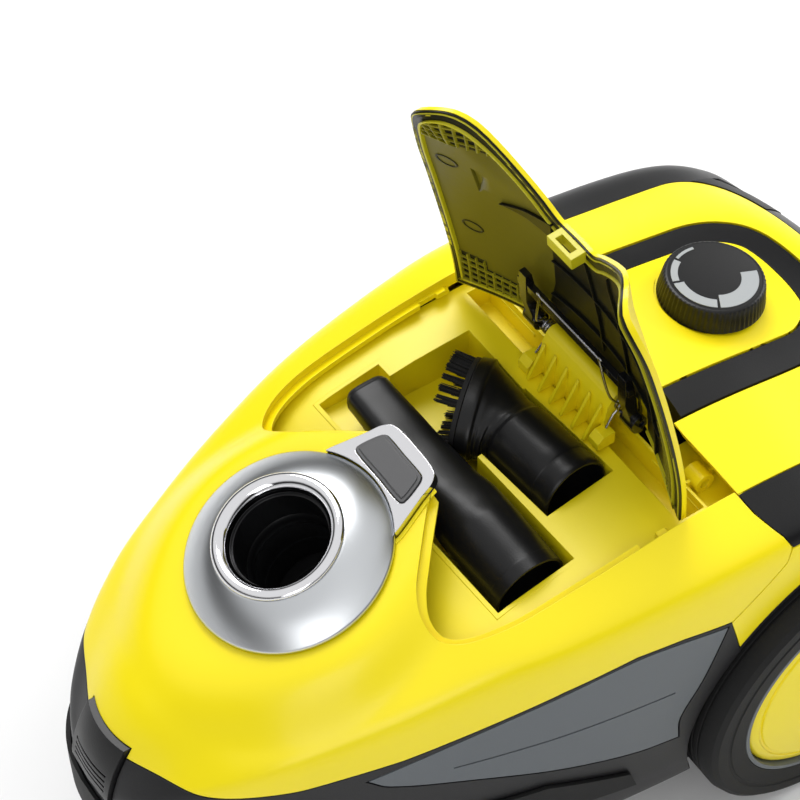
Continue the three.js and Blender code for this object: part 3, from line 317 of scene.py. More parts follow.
def body(d):
    ymin, ymax = ROWS[0][0], ROWS[-1][0]
    ym = (ymin + ymax) / 2
    k = (ym - ymin - d) / (ym - ymin)
    rings = []
    for t in np.arange(0, len(ROWS) - 1 + 1e-6, STEP):
        row = row_at(t)
        half, y, top = profile(row, d), ym + (row[0] - ym) * k, 3 * SUB
        R = [(q[0], y, seat(q[0], y, q[1], d) if i <= top else q[1]) for i, q in enumerate(half)]
        rings.append(R + [(-x, yy, z) for x, yy, z in reversed(R[1:-1])])
    n, v, f = len(rings[0]), [p for r in rings for p in r], []
    for i in range(len(rings) - 1):
        for j in range(n):
            a, b = i * n + j, i * n + (j + 1) % n
            f.append([a, b, b + n, a + n])
    for base in (0, (len(rings) - 1) * n):
        v.append((0, v[base][1], sum(v[base + j][2] for j in range(n)) / n))
        f += [[len(v) - 1, base + j, base + (j + 1) % n] for j in range(n)]
    return Solid(mesh_of(v, f))


_cache = {}


def skin(d):
    if d not in _cache:
        _cache[d] = body(d)
    return _cache[d]


def layer(a, b):
    return skin(a) - skin(b)


def surf_z(x, y):
    """Height of the outer surface over a point, by ray."""
    if "bvh" not in _cache:
        from mathutils.bvhtree import BVHTree
        bm = bmesh.new()
        bm.from_mesh(skin(0).me)
        _cache["bvh"] = BVHTree.FromBMesh(bm)
        bm.free()
    hit = _cache["bvh"].ray_cast(Vector((x, y, 80)), Vector((0, 0, -1)))
    return hit[0].z if hit[0] else 0.0


# ------------------------------------------------------------------ materials
def material(name, base, rough, metal=0.0, grain=900.0, bump=0.04, vary=0.10, rvary=0.08, coat=0.0, edge=0.12,
             edge_r=0.5, brushed=None, spec=0.5):
    m = bpy.data.materials.new(name)
    m.use_nodes = True
    nt = m.node_tree
    N, L = nt.nodes, nt.links
    bs = next(n for n in N if n.type == "BSDF_PRINCIPLED")
    bs.inputs["Metallic"].default_value = metal
    bs.inputs["Specular IOR Level"].default_value = spec
    if coat:
        bs.inputs["Coat Weight"].default_value = coat
        bs.inputs["Coat Roughness"].default_value = 0.12
    tc = N.new("ShaderNodeTexCoord")
    big = N.new("ShaderNodeTexNoise")
    big.inputs["Scale"].default_value = 14.0
    big.inputs["Detail"].default_value = 5.0
    L.new(tc.outputs["Object"], big.inputs["Vector"])
    fine = N.new("ShaderNodeTexNoise")
    fine.inputs["Scale"].default_value = grain
    fine.inputs["Detail"].default_value = 3.0
    if brushed:                                         # rings about the socket axis
        mp = N.new("ShaderNodeMapping")
        mp.vector_type = "POINT"
        inv = brushed.inverted()
        mp.inputs["Rotation"].default_value = inv.to_euler()
        mp.inputs["Location"].default_value = inv.to_translation()
        L.new(tc.outputs["Object"], mp.inputs["Vector"])
        sep = N.new("ShaderNodeSeparateXYZ")
        L.new(mp.outputs["Vector"], sep.inputs["Vector"])
        cx = N.new("ShaderNodeCombineXYZ")
        L.new(sep.outputs["X"], cx.inputs["X"])
        L.new(sep.outputs["Y"], cx.inputs["Y"])
        ln = N.new("ShaderNodeVectorMath")
        ln.operation = "LENGTH"
        L.new(cx.outputs["Vector"], ln.inputs[0])
        cc = N.new("ShaderNodeCombineXYZ")
        L.new(ln.outputs["Value"], cc.inputs["X"])
        L.new(cc.outputs["Vector"], fine.inputs["Vector"])
        tg = N.new("ShaderNodeVectorMath")
        tg.operation = "CROSS_PRODUCT"
        L.new(cx.outputs["Vector"], tg.inputs[0])
        tg.inputs[1].default_value = (0, 0, 1)
        vt = N.new("ShaderNodeVectorTransform")
        vt.vector_type, vt.convert_from, vt.convert_to = "VECTOR", "OBJECT", "WORLD"
        back = N.new("ShaderNodeMapping")
        back.vector_type = "VECTOR"
        back.inputs["Rotation"].default_value = brushed.to_euler()
        L.new(tg.outputs["Vector"], back.inputs["Vector"])
        L.new(back.outputs["Vector"], vt.inputs["Vector"])
        nm = N.new("ShaderNodeVectorMath")
        nm.operation = "NORMALIZE"
        L.new(vt.outputs["Vector"], nm.inputs[0])
        bs.inputs["Anisotropic"].default_value = 0.7
        L.new(nm.outputs["Vector"], bs.inputs["Tangent"])
    else:
        L.new(tc.outputs["Object"], fine.inputs["Vector"])
    # colour: slow blotches and a touch of grain
    dark = [c * (1 - vary) for c in base]
    light = [min(1, c * (1 + vary * 0.5) + 0.002) for c in base]
    mix = N.new("ShaderNodeMix")
    mix.data_type = "RGBA"
    mix.inputs["A"].default_value = (*dark, 1)
    mix.inputs["B"].default_value = (*light, 1)
    L.new(big.outputs["Fac"], mix.inputs["Factor"])
    # painted edge highlight: base colour lightened where the rounded normal leaves the true one
    geo = N.new("ShaderNodeNewGeometry")
    bev = N.new("ShaderNodeBevel")
    bev.samples = 4
    bev.inputs["Radius"].default_value = edge_r * MM
    dot = N.new("ShaderNodeVectorMath")
    dot.operation = "DOT_PRODUCT"
    L.new(geo.outputs["Normal"], dot.inputs[0])
    L.new(bev.outputs["Normal"], dot.inputs[1])
    ed = N.new("ShaderNodeMapRange")
    ed.inputs["From Min"].default_value = 1.0
    ed.inputs["From Max"].default_value = 0.80
    L.new(dot.outputs["Value"], ed.inputs["Value"])
    painted_edge_highlight = N.new("ShaderNodeMath")
    painted_edge_highlight.operation = "MULTIPLY"
    painted_edge_highlight.inputs[1].default_value = edge
    L.new(ed.outputs["Result"], painted_edge_highlight.inputs[0])
    mix2 = N.new("ShaderNodeMix")
    mix2.data_type = "RGBA"
    # lighter copy of the base colour, painted on edges as a highlight
    mix2.inputs["B"].default_value = (*[min(1, c * 1.35 + 0.05) for c in base], 1)
    L.new(painted_edge_highlight.outputs["Value"], mix2.inputs["Factor"])
    L.new(mix.outputs["Result"], mix2.inputs["A"])
    L.new(mix2.outputs["Result"], bs.inputs["Base Color"])
    rr = N.new("ShaderNodeMapRange")
    rr.inputs["To Min"].default_value = max(0.02, rough - rvary)
    rr.inputs["To Max"].default_value = rough + rvary
    L.new((fine if brushed else big).outputs["Fac"], rr.inputs["Value"])
    L.new(rr.outputs["Result"], bs.inputs["Roughness"])
    bp = N.new("ShaderNodeBump")
    bp.inputs["Strength"].default_value = bump
    bp.inputs["Distance"].default_value = 0.0004
    L.new(fine.outputs["Fac"], bp.inputs["Height"])
    L.new(bev.outputs["Normal"], bp.inputs["Normal"])
    L.new(bp.outputs["Normal"], bs.inputs["Normal"])
    return m


REL = Matrix.Translation(DATUM * MM)
YEL = material("yellow", (0.93, 0.765, 0.003), 0.33, grain=1500, bump=0.03, vary=0.03, coat=0.08, edge=0.2, rvary=0.04, spec=0.38)
YEL_IN = material("yellow_matt", (0.90, 0.745, 0.004), 0.40, grain=1200, bump=0.06, vary=0.05, edge=0.2)
BLK = material("black", (0.0045, 0.0045, 0.005), 0.33, grain=1600, bump=0.10, vary=0.3, edge=0.07, spec=0.30)
BLKG = material("black_gloss", (0.004, 0.004, 0.0045), 0.16, grain=1200, bump=0.03, vary=0.3, edge=0.06, coat=0.3, spec=0.4)
DRK = material("dark", (0.009, 0.009, 0.010), 0.46, grain=1300, bump=0.14, vary=0.25, edge=0.08, spec=0.32)
GRY = material("grey", (0.098, 0.112, 0.124), 0.42, grain=1400, bump=0.10, vary=0.10, edge=0.2)
MID = material("button_grey", (0.085, 0.085, 0.088), 0.36, grain=1300, bump=0.05, vary=0.12, edge=0.3)
PRINT = material("print", (0.33, 0.35, 0.37), 0.42, grain=1500, bump=0.03, vary=0.06, edge=0.1)
# painted shade: the lid's inner yellow face, which stands in shade, coloured as a dark olive copy of the yellow
LID_FACE_SHADED_YELLOW = material("lid_inside", (0.135, 0.118, 0.004), 0.44, grain=260, bump=0.10, vary=0.45, edge=0.2, spec=0.3)
# painted shade: near-black for the part of the lid's inner face that lies in deep shadow, with its ribs, fins and the
# floors under the lattice; the dark seal rings use it too
LID_SHADE_AND_SEAL = material("lid_dark", (0.006, 0.0065, 0.004), 0.36, grain=700, bump=0.12, vary=0.45, edge=0.25, spec=0.2)
# painted shade, lighter: the lid's inner yellow lip and catch tab dimmed to a yellow-green copy of the yellow
LID_LIP_SHADED_YELLOW = material("lid_ribs", (0.58, 0.53, 0.008), 0.40, grain=1000, bump=0.06, vary=0.14, edge=0.25)
STL = material("steel_disc", (0.62, 0.64, 0.66), 0.31, metal=1.0, grain=3200, bump=0.015, vary=0.05, edge=0.15, brushed=REL @ DISC, rvary=0.06)
CHR = material("chrome", (0.78, 0.78, 0.80), 0.07, metal=1.0, grain=300, bump=0.01, vary=0.03, edge=0.1, rvary=0.03)
# painted shade: the lid's inner lattice coloured as a darkened olive copy of the yellow
LID_LATTICE_SHADED_YELLOW = material("lid_lattice", (0.27, 0.245, 0.006), 0.42, grain=1000, bump=0.06, vary=0.2, edge=0.25, spec=0.3)
WIRE = material("wire", (0.40, 0.40, 0.42), 0.24, metal=1.0, grain=2400, bump=0.05, vary=0.12, edge=0.1)
RUB = material("rubber", (0.006, 0.006, 0.006), 0.66, grain=1800, bump=0.22, vary=0.3, edge=0.07, spec=0.28)
PAP = material("bag_paper", (0.78, 0.72, 0.60), 0.86, grain=600, bump=0.5, vary=0.12, edge=0.05, spec=0.2)
FELT = material("felt", (0.66, 0.68, 0.70), 0.9, grain=500, bump=0.6, vary=0.10, edge=0.05, spec=0.2)
PCB = material("board", (0.01, 0.10, 0.03), 0.4, grain=400, bump=0.1, vary=0.3)
ROT = material("rotor", (0.45, 0.42, 0.40), 0.35, metal=0.9, grain=800, bump=0.1, vary=0.15)

made = []


def piece(name, solid, mat, bodyname, nodes=(), angle=32, bevel=0.0):
    """Turns a solid into a shown piece that rides on a body."""
    me = solid.me.copy()
    me.transform(Matrix.Scale(MM, 4) @ Matrix.Translation(DATUM))
    bm = bmesh.new()
    bm.from_mesh(me)
    bmesh.ops.remove_doubles(bm, verts=bm.verts, dist=2e-6)
    bmesh.ops.dissolve_degenerate(bm, dist=1e-6, edges=bm.edges)
    for f in bm.faces:
        f.smooth = True
    for e in bm.edges:
        if len(e.link_faces) == 2 and e.calc_face_angle(0) > math.radians(angle):
            e.smooth = False
    bm.to_mesh(me)
    bm.free()
    me.materials.clear()
    me.materials.append(mat)
    o = bpy.data.objects.new(name, me)
    scene.collection.objects.link(o)
    if bevel:
        b = o.modifiers.new("bevel", "BEVEL")
        b.width, b.segments, b.limit_method, b.angle_limit = bevel * MM, 3, "ANGLE", math.radians(40)
        b.harden_normals = False
        dg = bpy.context.evaluated_depsgraph_get()
        new = bpy.data.meshes.new_from_object(o.evaluated_get(dg))
        o.modifiers.clear()
        o.data = new
    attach(o, bodyname)
    if nodes:
        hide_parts(*nodes)
    made.append(o)
    return o


def tube(path, r, seg=12):
    """A round wire along points (mm)."""
    P = [Vector(p) for p in path]
    n = len(P)
    v, f, up = [], [], None
    for i in range(n):
        t = (P[min(i + 1, n - 1)] - P[max(i - 1, 0)]).normalized()
        if up is None:
            up = t.orthogonal().normalized()
        up = (up - t * up.dot(t)).normalized()
        w = t.cross(up)
        for k in range(seg):
            a = 2 * math.pi * k / seg
            v.append(P[i] + up * (r * math.cos(a)) + w * (r * math.sin(a)))
    for i in range(n - 1):
        for k in range(seg):
            f.append([i * seg + k, i * seg + (k + 1) % seg, (i + 1) * seg + (k + 1) % seg, (i + 1) * seg + k])
    f += [list(range(seg))[::-1], list(range((n - 1) * seg, n * seg))]
    return Solid(mesh_of(v, f))


def spline(pts, sub=6):
    P = [np.array(p, float) for p in pts]
    out, n = [], len(P)
    for i in range(n - 1):
        a, b, c, d = P[max(i - 1, 0)], P[i], P[i + 1], P[min(i + 2, n - 1)]
        for m in range(sub):
            t = m / sub
            out.append(0.5 * (2 * b + (c - a) * t + (2 * a - 5 * b + 4 * c - d) * t * t + (3 * b - a - 3 * c + d) * t**3))
    return out + [P[-1]]


# ------------------------------------------------------------------ shut lines
SEAM = [(156, 60), (156, 27), (157.5, 21), (161, 14.5), (165, 6), (171, 0), (173, -4), (170, -10), (143, -29.5)]
SILL = [(143, -29.5), (120, -26.5), (98, -25.5), (66, -30.5), (30, -39), (0, -46), (-40, -52.5), (-75, -55.5), (-110, -57)]
WAIST = [(143, -30.4), (147, -44), (152, -62), (170, -84), (240, -92), (310, -92)]


def shift(pts, dy, dz):
    return [(a + dy, b + dz) for a, b in pts]


hoodCut = prismX([(-110, 60), (156, 60)] + SEAM[1:] + SILL[1:], -130, 130)
seamR = [(a + (GAP if b > -4 else GAP * 1.3 if b > -8 else 0.2), b - (0 if b > -4 else GAP)) for a, b in SEAM]
rearCut = prismX(seamR[:-1] + WAIST + [(310, 60)], -130, 130)
lowerCut = prismX([(a, b - GAP) for a, b in reversed(SILL)] + [(143, -31)] + [(a - 0.3, b - GAP) for a, b in WAIST[1:]] + [(310, -200), (-110, -200)], -130, 130)

LID0 = [(0, 64.5), (11, 64), (19, 57), (40, 38), (49, 30.5), (57, 27), (65, 28.5), (71.5, 34.5), (76, 44.5), (79, 60), (80.3, 84), (81, 108), (80.8, 135), (79.6, 160), (60, 157.5), (30, 155.6), (0, 155.2)]
MOUTH0 = [(0, 63.6), (11.4, 63.0), (18.4, 56.2), (39.4, 37.2), (48.6, 29.6), (57, 26), (65.5, 27.6), (72.3, 34), (76.9, 44.3), (80, 60), (81.3, 84), (82, 108), (82, 178), (0, 178)]
LID = curve(mirror_x(LID0), 5, 55)
MOUTH = curve(mirror_x(MOUTH0), 5, 55)
ARM = curve(mirror_x([(0, 30), (26, 30), (26, 37.5), (23.5, 46), (20.5, 55), (18.5, 62), (14.5, 66), (0, 67)]), 4, 50)
WINDOW = curve(mirror_x([(0, 46.6), (15.6, 46.6), (17.4, 48.4), (15.4, 57), (13.8, 60), (11.6, 61), (0, 61)]), 4, 70)


def lay(o, z0, z1):
    return prismZ(o, z0, z1).move(DISC)


TOOLWAY = prismZ([(-60, 60.2), (66, 57.2), (66, 100), (-60, 100)], -60, 70)

# ------------------------------------------------------------------ hood
hood = (layer(0, WALL) & hoodCut) - prismZ(MOUTH, -22, 70)
rimOut, mouth = prismZ(grow(MOUTH, 2.2), -22, 70), prismZ(MOUTH, -22, 70)
wall = (layer(0.4, 5.8) & (rimOut - mouth)) & hoodCut
ledge = (layer(3.4, 5.8) & (prismZ(grow(MOUTH, 1), -22, 70) - prismZ(grow(MOUTH, -4), -22, 70)) & box(-130, 130, -110, 154, -60, 80)) & hoodCut
ledge = ledge - TOOLWAY - cylX(22.4, -84, 84, *FLAP_AXIS)
hood = hood + wall + ledge
for s in (1, -1):
    hood = hood - box(s * 77.2, s * 80, 117, 126, -4, 12)
hood = hood - cyl(24.6, -30, 30, 96, DISC)
hood = hood - lay(ARM, -3.2, 5.8)
pocket = (lay(grow(ARM, 1.6), -5.8, -0.9) - lay(ARM, -3.2, 4.8)) - cyl(24.6, -30, 30, 96, DISC) - TOOLWAY - (layer(-1, 5.9) & prismZ(grow(LID, 0.5), -30, 70))
hood = hood + pocket
hood = hood - box(-10, 10, 62.9, 74, 6, 18.2) - box(-15.6, 15.6, -104, -85, -70, -51.4)
piece("hood_shell_v", hood, YEL, "hood", ["hood_shell"], angle=28)

# tray
top = [(156, 1.0), (127, -0.4), (100, -2.4), (62, -8.6), (45, -13.4), (30, -19), (15, -22)]
trayOut = grow([(x, min(y, 155.4)) for x, y in MOUTH if y < 177], -0.9)


def tilted(x0, x1, y0, y1, z0, z1, ang, cx, cy):
    return box(x0, x1, y0, y1, z0, z1).move(tr(cx, cy, 0) @ rz(ang))


def P1(e):
    return [tilted(-14 - e, 66 + e, -19.2 - e, 19.2 + e, -30 - e, 40, 2, 0, 74), tilted(-66 - e, 0, -15.6 - e, 15.6 + e, -15.5 - e, 40, 2, 0, 74)]


def P2(e):
    return [tilted(-16 - e, 41 + e, -18.2 - e, 17.6 + e, -22 - e, 40, 4.3, 0, 113.7), box(-58 - e, 0, 86 - e, 129 + e, -22.6 - e, 40)]


def P3(e):
    return [box(-76 - e, 76 + e, 140.4 - e, 153.2 + e, -13 - e, 40)]


plate = prismX(top + [(a, b - 2.2) for a, b in reversed(top)], -90, 90) & prismZ(trayOut, -60, 60)
cut = union(P1(0) + P2(0) + P3(0))
shells = union(P1(2) + P2(2) + P3(2)) & prismX([(158, 1.0), (127, -0.4), (100, -2.4), (62, -8.4), (45, -13), (30, -18.4), (30, -60), (158, -60)], -90, 90) & prismZ(trayOut, -60, 60)
tray = (plate + shells) - cut
for s in (1, -1):
    arm = prismX([(152.4, -14.8), (155.2, -14.8), (163.6, 8), (164, 25.4), (159.4, 25.4), (160.4, 19), (160.2, 10), (152.4, -5)], s * 7, s * 12.6) + cylX(2.7, s * 7, s * 12.6, *HOOD_AXIS, 32)
    tray = (tray + arm) - cylX(1.6, s * 6, s * 13.6, *HOOD_AXIS, 24)
tray = tray - cyl(25.4, -60, 30, 64, DISC)
for s in (1, -1):
    tray = tray + box(s * 42, s * 81, 152.8, 171.4, -5.2, -3.2) + box(s * 62, s * 63.4, 154, 168, -4, 2.5)
    tray = tray + (cylX(4.8, s * 58, s * 67, 160.8, 1.4, 48) - cylX(2.4, s * 50, s * 70, 160.8, 1.4, 32))
piece("tray_v", tray, YEL_IN, "hood", ["accessory_tray"], angle=30)

# hinge bracket
hy, hz = FLAP_AXIS
b = prismX([(140.9, -12.6), (144, -12.6), (144.4, 9), (147.5, 15), (150, 17), (149, 21), (144.6, 22.6), (142.4, 18.5), (140.9, 10)], -23, 23)
b = b + cylX(4.4, -23, 23, hy, hz)
for i in range(6):
    x = -20 + i * 8
    b = b + prismX([(132.6, 1.2), (141.2, 18.6), (141.2, 1.2)], x - 0.7, x + 0.7)
for s in (1, -1):
    b = b + prismX([(134.2, 1.2), (143, 1.2), (143, 8), (137, 8), (134.2, 5)], s * 22, s * 28.5)
b = b - cylX(1.75, 10, 30, hy, hz, 24) - cylX(1.75, -30, -10, hy, hz, 24)
piece("bracket_v", b, YEL_IN, "hood", ["flap_hinge_bracket"], angle=30)
for s, nm in ((1, "right"), (-1, "left")):
    piece("pin_%s_v" % nm, cylX(1.5, s * 10.5, s * 37, hy, hz, 32), WIRE, "hood", ["flap_pin_" + nm])
    pts = [(s * 25, 140.6, 8.8), (s * 24.4, 144.4, 14.6)]
    for i in range(0, 82):
        a = -math.pi / 2 - i / 36 * math.pi * 2
        pts.append((s * (24.2 + 4.2 * i / 81), hy + 3.1 * math.cos(a), hz + 3.1 * math.sin(a)))
    piece("coil_%s_v" % nm, tube(pts, 0.55), WIRE, "hood", ["flap_spring_" + nm], angle=60)

# ------------------------------------------------------------------ hose socket
piece("disc_v", lathe([(27.6, 12.2), (43.6, 0.0), (44.6, -0.6), (45, -0.1), (45, 0.5), (44.7, 1.3), (44.2, 1.7), (29.0, CONE_H + 0.3), (27.6, CONE_H + 0.4), (27.6, 12.2)], 192, DISC), STL, "hood", ["inlet_trim_disc"], angle=40)
piece("ring_v", lathe([(24.4, 7), (27.2, 7), (27.2, 14.3), (28.1, 14.4), (28.3, 14.9), (28.0, 15.6), (27.2, 16.2), (26.0, 16.5), (24.6, 16.4), (23.2, 15.6), (22.2, 14.4), (21.5, 13), (21.3, 11.8), (21.3, 10), (24.4, 10), (24.4, 7)], 160, DISC), CHR, "hood", ["inlet_ring"], angle=50)
piece("socket_v", lathe([(BORE_R, -45), (23.9, -45), (23.9, 9.6), (20.4, 9.6), (BORE_R, 6), (BORE_R, -8), (19.4, -9.4), (19.2, -11), (19.2, -13), (19.4, -14.6), (BORE_R, -16), (BORE_R, -28), (20.1, -29), (20.1, -31), (BORE_R, -32), (BORE_R, -45)], 128, DISC), BLK, "hood", ["inlet_tube"], angle=40)
flapm = cyl(16.4, -52.2, -50.6, 64, DISC)
for k in range(3):
    flapm = flapm + lathe([(4 + 4 * k, -50.7), (5 + 4 * k, -50.7), (5 + 4 * k, -50.3), (4 + 4 * k, -50.3), (4 + 4 * k, -50.7)], 64, DISC)
piece("check_flap_v", flapm, PRINT, "bag_flap", ["check_flap"])
keepOut = cyl(DISC_R + 0.4, -10, 10, 128, DISC)
lf = (lay(grow(ARM, -0.4), -2.8, 2.6) - lay(WINDOW, -6, 8)) - keepOut
bridge = (lay(mirror_x([(0, 45.6), (23.6, 39.5), (22.6, 46), (0, 46)]), -2.8, 2.4) - keepOut) - lay(WINDOW, -6, 8)
piece("latch_v", lf + bridge, CHR, "hood", ["latch_frame"], angle=35, bevel=0.7)
btn = lay(grow(WINDOW, -0.4), -0.6, 3.4) + lay(grow(WINDOW, -1.8), 3.0, 4.0)
piece("button_v", btn, MID, "button", ["release_button"], angle=35, bevel=0.4)

# ------------------------------------------------------------------ lid
openLid = tr(0, hy, hz) @ rx(-FLAP_OPEN) @ tr(0, -hy, -hz)


def col(o):
    return prismZ(o, -30, 70)


piece("lid_skin_v", ((layer(0, 1.9) & col(LID)) - cylX(5.2, -90, 90, *FLAP_AXIS)).move(openLid), YEL, "lid", ["flap_skin"], angle=28)


def loft(secs, seg, m=None, sub=1):
    """secs: (x, ry, rz, cz, power) along X."""
    S = [tuple(list(q) + [0, 2][len(q) - 3:]) if len(q) < 5 else tuple(q) for q in secs]
    if sub > 1:
        out = []
        for i in range(len(S) - 1):
            for k in range(sub):
                t = k / sub
                w = t * t * (3 - 2 * t)
                out.append(tuple([S[i][0] * (1 - t) + S[i + 1][0] * t] + [S[i][j] * (1 - w) + S[i + 1][j] * w for j in range(1, 5)]))
        S = out + [S[-1]]
    v, f = [], []
    for x, a, bb, c, p in S:
        for i in range(seg):
            t = i / seg * 2 * math.pi
            C, Sn = math.cos(t), math.sin(t)
            v.append((x, a * math.copysign(abs(C)**(2 / p), C), c + bb * math.copysign(abs(Sn)**(2 / p), Sn)))
    for k in range(len(S) - 1):
        for i in range(seg):
            f.append([k * seg + i, k * seg + (i + 1) % seg, (k + 1) * seg + (i + 1) % seg, (k + 1) * seg + i])
    f += [list(range(seg))[::-1], list(range((len(S) - 1) * seg, len(S) * seg))]
    s_ = Solid(mesh_of(v, f))
    return s_.move(m) if m else s_


def aim(a, bb):
    A, X = Vector(a), (Vector(bb) - Vector(a)).normalized()
    Y = Vector((0, 0, 1)).cross(X).normalized()
    Z = X.cross(Y)
    return Matrix(((X.x, Y.x, Z.x, A.x), (X.y, Y.y, Z.y, A.y), (X.z, Y.z, Z.z, A.z), (0, 0, 0, 1)))


CREV = aim((-54, 71.7, 0.1), (62, 76.3, -12.8))
relief = loft([(-1, 10.4, 7.4, 1.5, 3.2), (34, 12.6, 9.0, 1, 3), (58, 14.2, 12, 0.4, 2.8), (76, 17.1, 15.9, 0, 2.3), (86, 17.6, 17.6, 0, 2), (118, 17.7, 17.7, 0, 2)], 40, CREV)
tailcut = cylX(6.4, -30, 30, *FLAP_AXIS)
tailbox = box(-41, 41, 136, 157, 0, 24.6)
# outline of the lid's inner area painted near-black as shade
SHADE_ZONE_OUTLINE = [(-14, 66), (-19.5, 86), (-24, 119), (-31, 142), (-33, 158), (58, 158), (60, 118), (54, 84), (44, 62), (40, 40), (14, 60)]
LATZ = [[(-84, 20), (-84, 48.5), (-27, 45.5), (-27, 20)], [(-84, 134), (-62, 134), (-62, 139.6), (-46, 139.6), (-46, 144.6), (-33, 144.6), (-33, 160), (-84, 160)], [(62, 112), (84, 112), (84, 160), (66, 160)]]
shade_zone = union([prismZ(SHADE_ZONE_OUTLINE, -30, 70)])
latz = union([prismZ(q, -30, 70) for q in LATZ])
panel = layer(2.2, 3.2) & col(grow(LID, -1.0))
panel = panel - relief - tailcut - tailbox
# inner lid panel in the dark olive painted-shade colour
piece("lid_panel_v", (panel - shade_zone - latz).move(openLid), LID_FACE_SHADED_YELLOW, "lid", ["flap_frame"], angle=28)
# near-black painted shade over that area and under the lattice bands, plus the fins and bosses there
dark = (layer(2.15, 3.25) & col(grow(LID, -1.6)) & (shade_zone + latz)) - relief - tailcut - tailbox
fin = (layer(2.4, 4.6) & prismZ([(-44, 78.5), (-30, 72), (-13.5, 67.5), (-16, 79), (-30, 77)], -30, 70))
for sx, sy in ((-65, 64), (-64, 110)):
    fin = fin + (layer(2.4, 3.45) & lathe([(3.2, -30), (4.0, -30), (4.0, 70), (3.2, 70), (3.2, -30)], 40, tr(sx, sy, 0) @ Matrix.Diagonal((1.25, 0.85, 1, 1))))
piece("lid_painted_shade_v", (dark + fin).move(openLid), LID_SHADE_AND_SEAL, "lid", angle=28)
back = layer(1.85, 2.26) & col(grow(LID, -1.2))
piece("lid_back_v", (back - tailcut - tailbox).move(openLid), LID_FACE_SHADED_YELLOW, "lid", angle=28)
gask = (layer(1.7, 2.7) & (col(grow(LID, -0.25)) - col(grow(LID, -1.8)))) + (layer(2.15, 3.3) & (col(grow(LID, -2.7)) - col(grow(LID, -5.1))))
piece("lid_gasket_v", (gask - relief - tailcut - tailbox).move(openLid), LID_SHADE_AND_SEAL, "lid", angle=28)
lip = layer(2.4, 4.3) & (col(grow(LID, -5.1)) - col(grow(LID, -6.0)))
lip = lip + (layer(2.6, 3.2) & (col(grow(LID, -1.1)) - col(grow(LID, -2.8))))
near = col(grow(LID, -6))
ribs = [box(s * 52 - 0.5, s * 52 + 0.5, 40, 156, -30, 70) for s in (1,)]
ribs += [box(26 - 0.4, 26 + 0.4, 62, 156, -30, 70), box(6 - 0.4, 6 + 0.4, 74, 136, -30, 70), box(-31, 60, 99.6, 100.4, -30, 70), box(-31, 60, 127.6, 128.4, -30, 70)]
# ribs inside the painted-shade area, near-black as well
ribd = union(ribs) & (layer(2.8, 4.4) & near & shade_zone)
piece("lid_ribs_v", (ribd - relief - tailcut - tailbox).move(openLid), LID_SHADE_AND_SEAL, "lid", angle=30)
tab = prismX([(64.2, 9.6), (69.6, 9.6), (70.2, 10.2), (70.2, 16.2), (69.6, 16.8), (64.2, 16.8)], -8, 8) - box(-4.9, 4.9, 62, 74, 11.4, 14.8)
lip = (lip + tab) - relief - tailcut - tailbox
# lip and tab in the dimmed yellow-green painted-shade colour
piece("lid_lip_v", lip.move(openLid), LID_LIP_SHADED_YELLOW, "lid", angle=30)
# lattice bands on the inner face: fine cells with a thicker rib every third one
gx = union([box(-82.0 + 3.9 * k - (0.42 if k % 3 == 0 else 0.2), -82.0 + 3.9 * k + (0.42 if k % 3 == 0 else 0.2), 20, 160, -30, 70) for k in range(43)])
gy = union([box(-90, 90, 24.0 + 3.9 * k - (0.42 if k % 3 == 0 else 0.2), 24.0 + 3.9 * k + (0.42 if k % 3 == 0 else 0.2), -30, 70) for k in range(35)])
lat = ((gx + gy) & latz & (layer(3.0, 4.1) & near)) - relief
# lattice in the olive painted-shade colour
piece("lid_lattice_v", lat.move(openLid), LID_LATTICE_SHADED_YELLOW, "lid", angle=30)

# knuckles and bail
ks = []
for s in (1, -1):
    x0, x1 = min(s * 30.2, s * 38.5), max(s * 30.2, s * 38.5)
    k_ = prismX([(116, 13.5), (132, 13.0), (143.4, hz - 4.6), (148, hz - 5.2), (152, hz - 3.8), (153, hz - 1.2), (150.6, hz + 0.4), (130, 18.6), (116, 16.6)], x0 + 1.6, x1 - 1.6)
    k_ = k_ + (cylX(5.2, x0, x1, hy, hz) & box(-60, 60, 130, 160, 0, hz + 0.6)) + (cylX(3.2, x0, x1, hy, hz) & box(-60, 60, 130, 160, 0, hz + 2.6))
    ks.append(k_ - cylX(1.6, x0 - 1, x1 + 1, hy, hz, 24))
kn_ = union(ks + [box(-38.5, 38.5, 121, 125, 13.6, 16.6)])
piece("knuckles_v", kn_.move(openLid), BLKG, "lid", ["flap_knuckles"], angle=35, bevel=0.5)
B = [(-29.0, 144.8, 20.2), (-25.8, 138, 13.6), (-20.5, 117.5, 12.4), (-19.0, 116.4, 12.4), (19.0, 116.4, 12.4), (20.5, 117.5, 12.4), (25.8, 138, 13.6), (29.0, 144.8, 20.2)]
piece("bail_v", tube(spline(B, 8), 0.55).move(openLid), WIRE, "lid", ["flap_spring_bail"], angle=60)

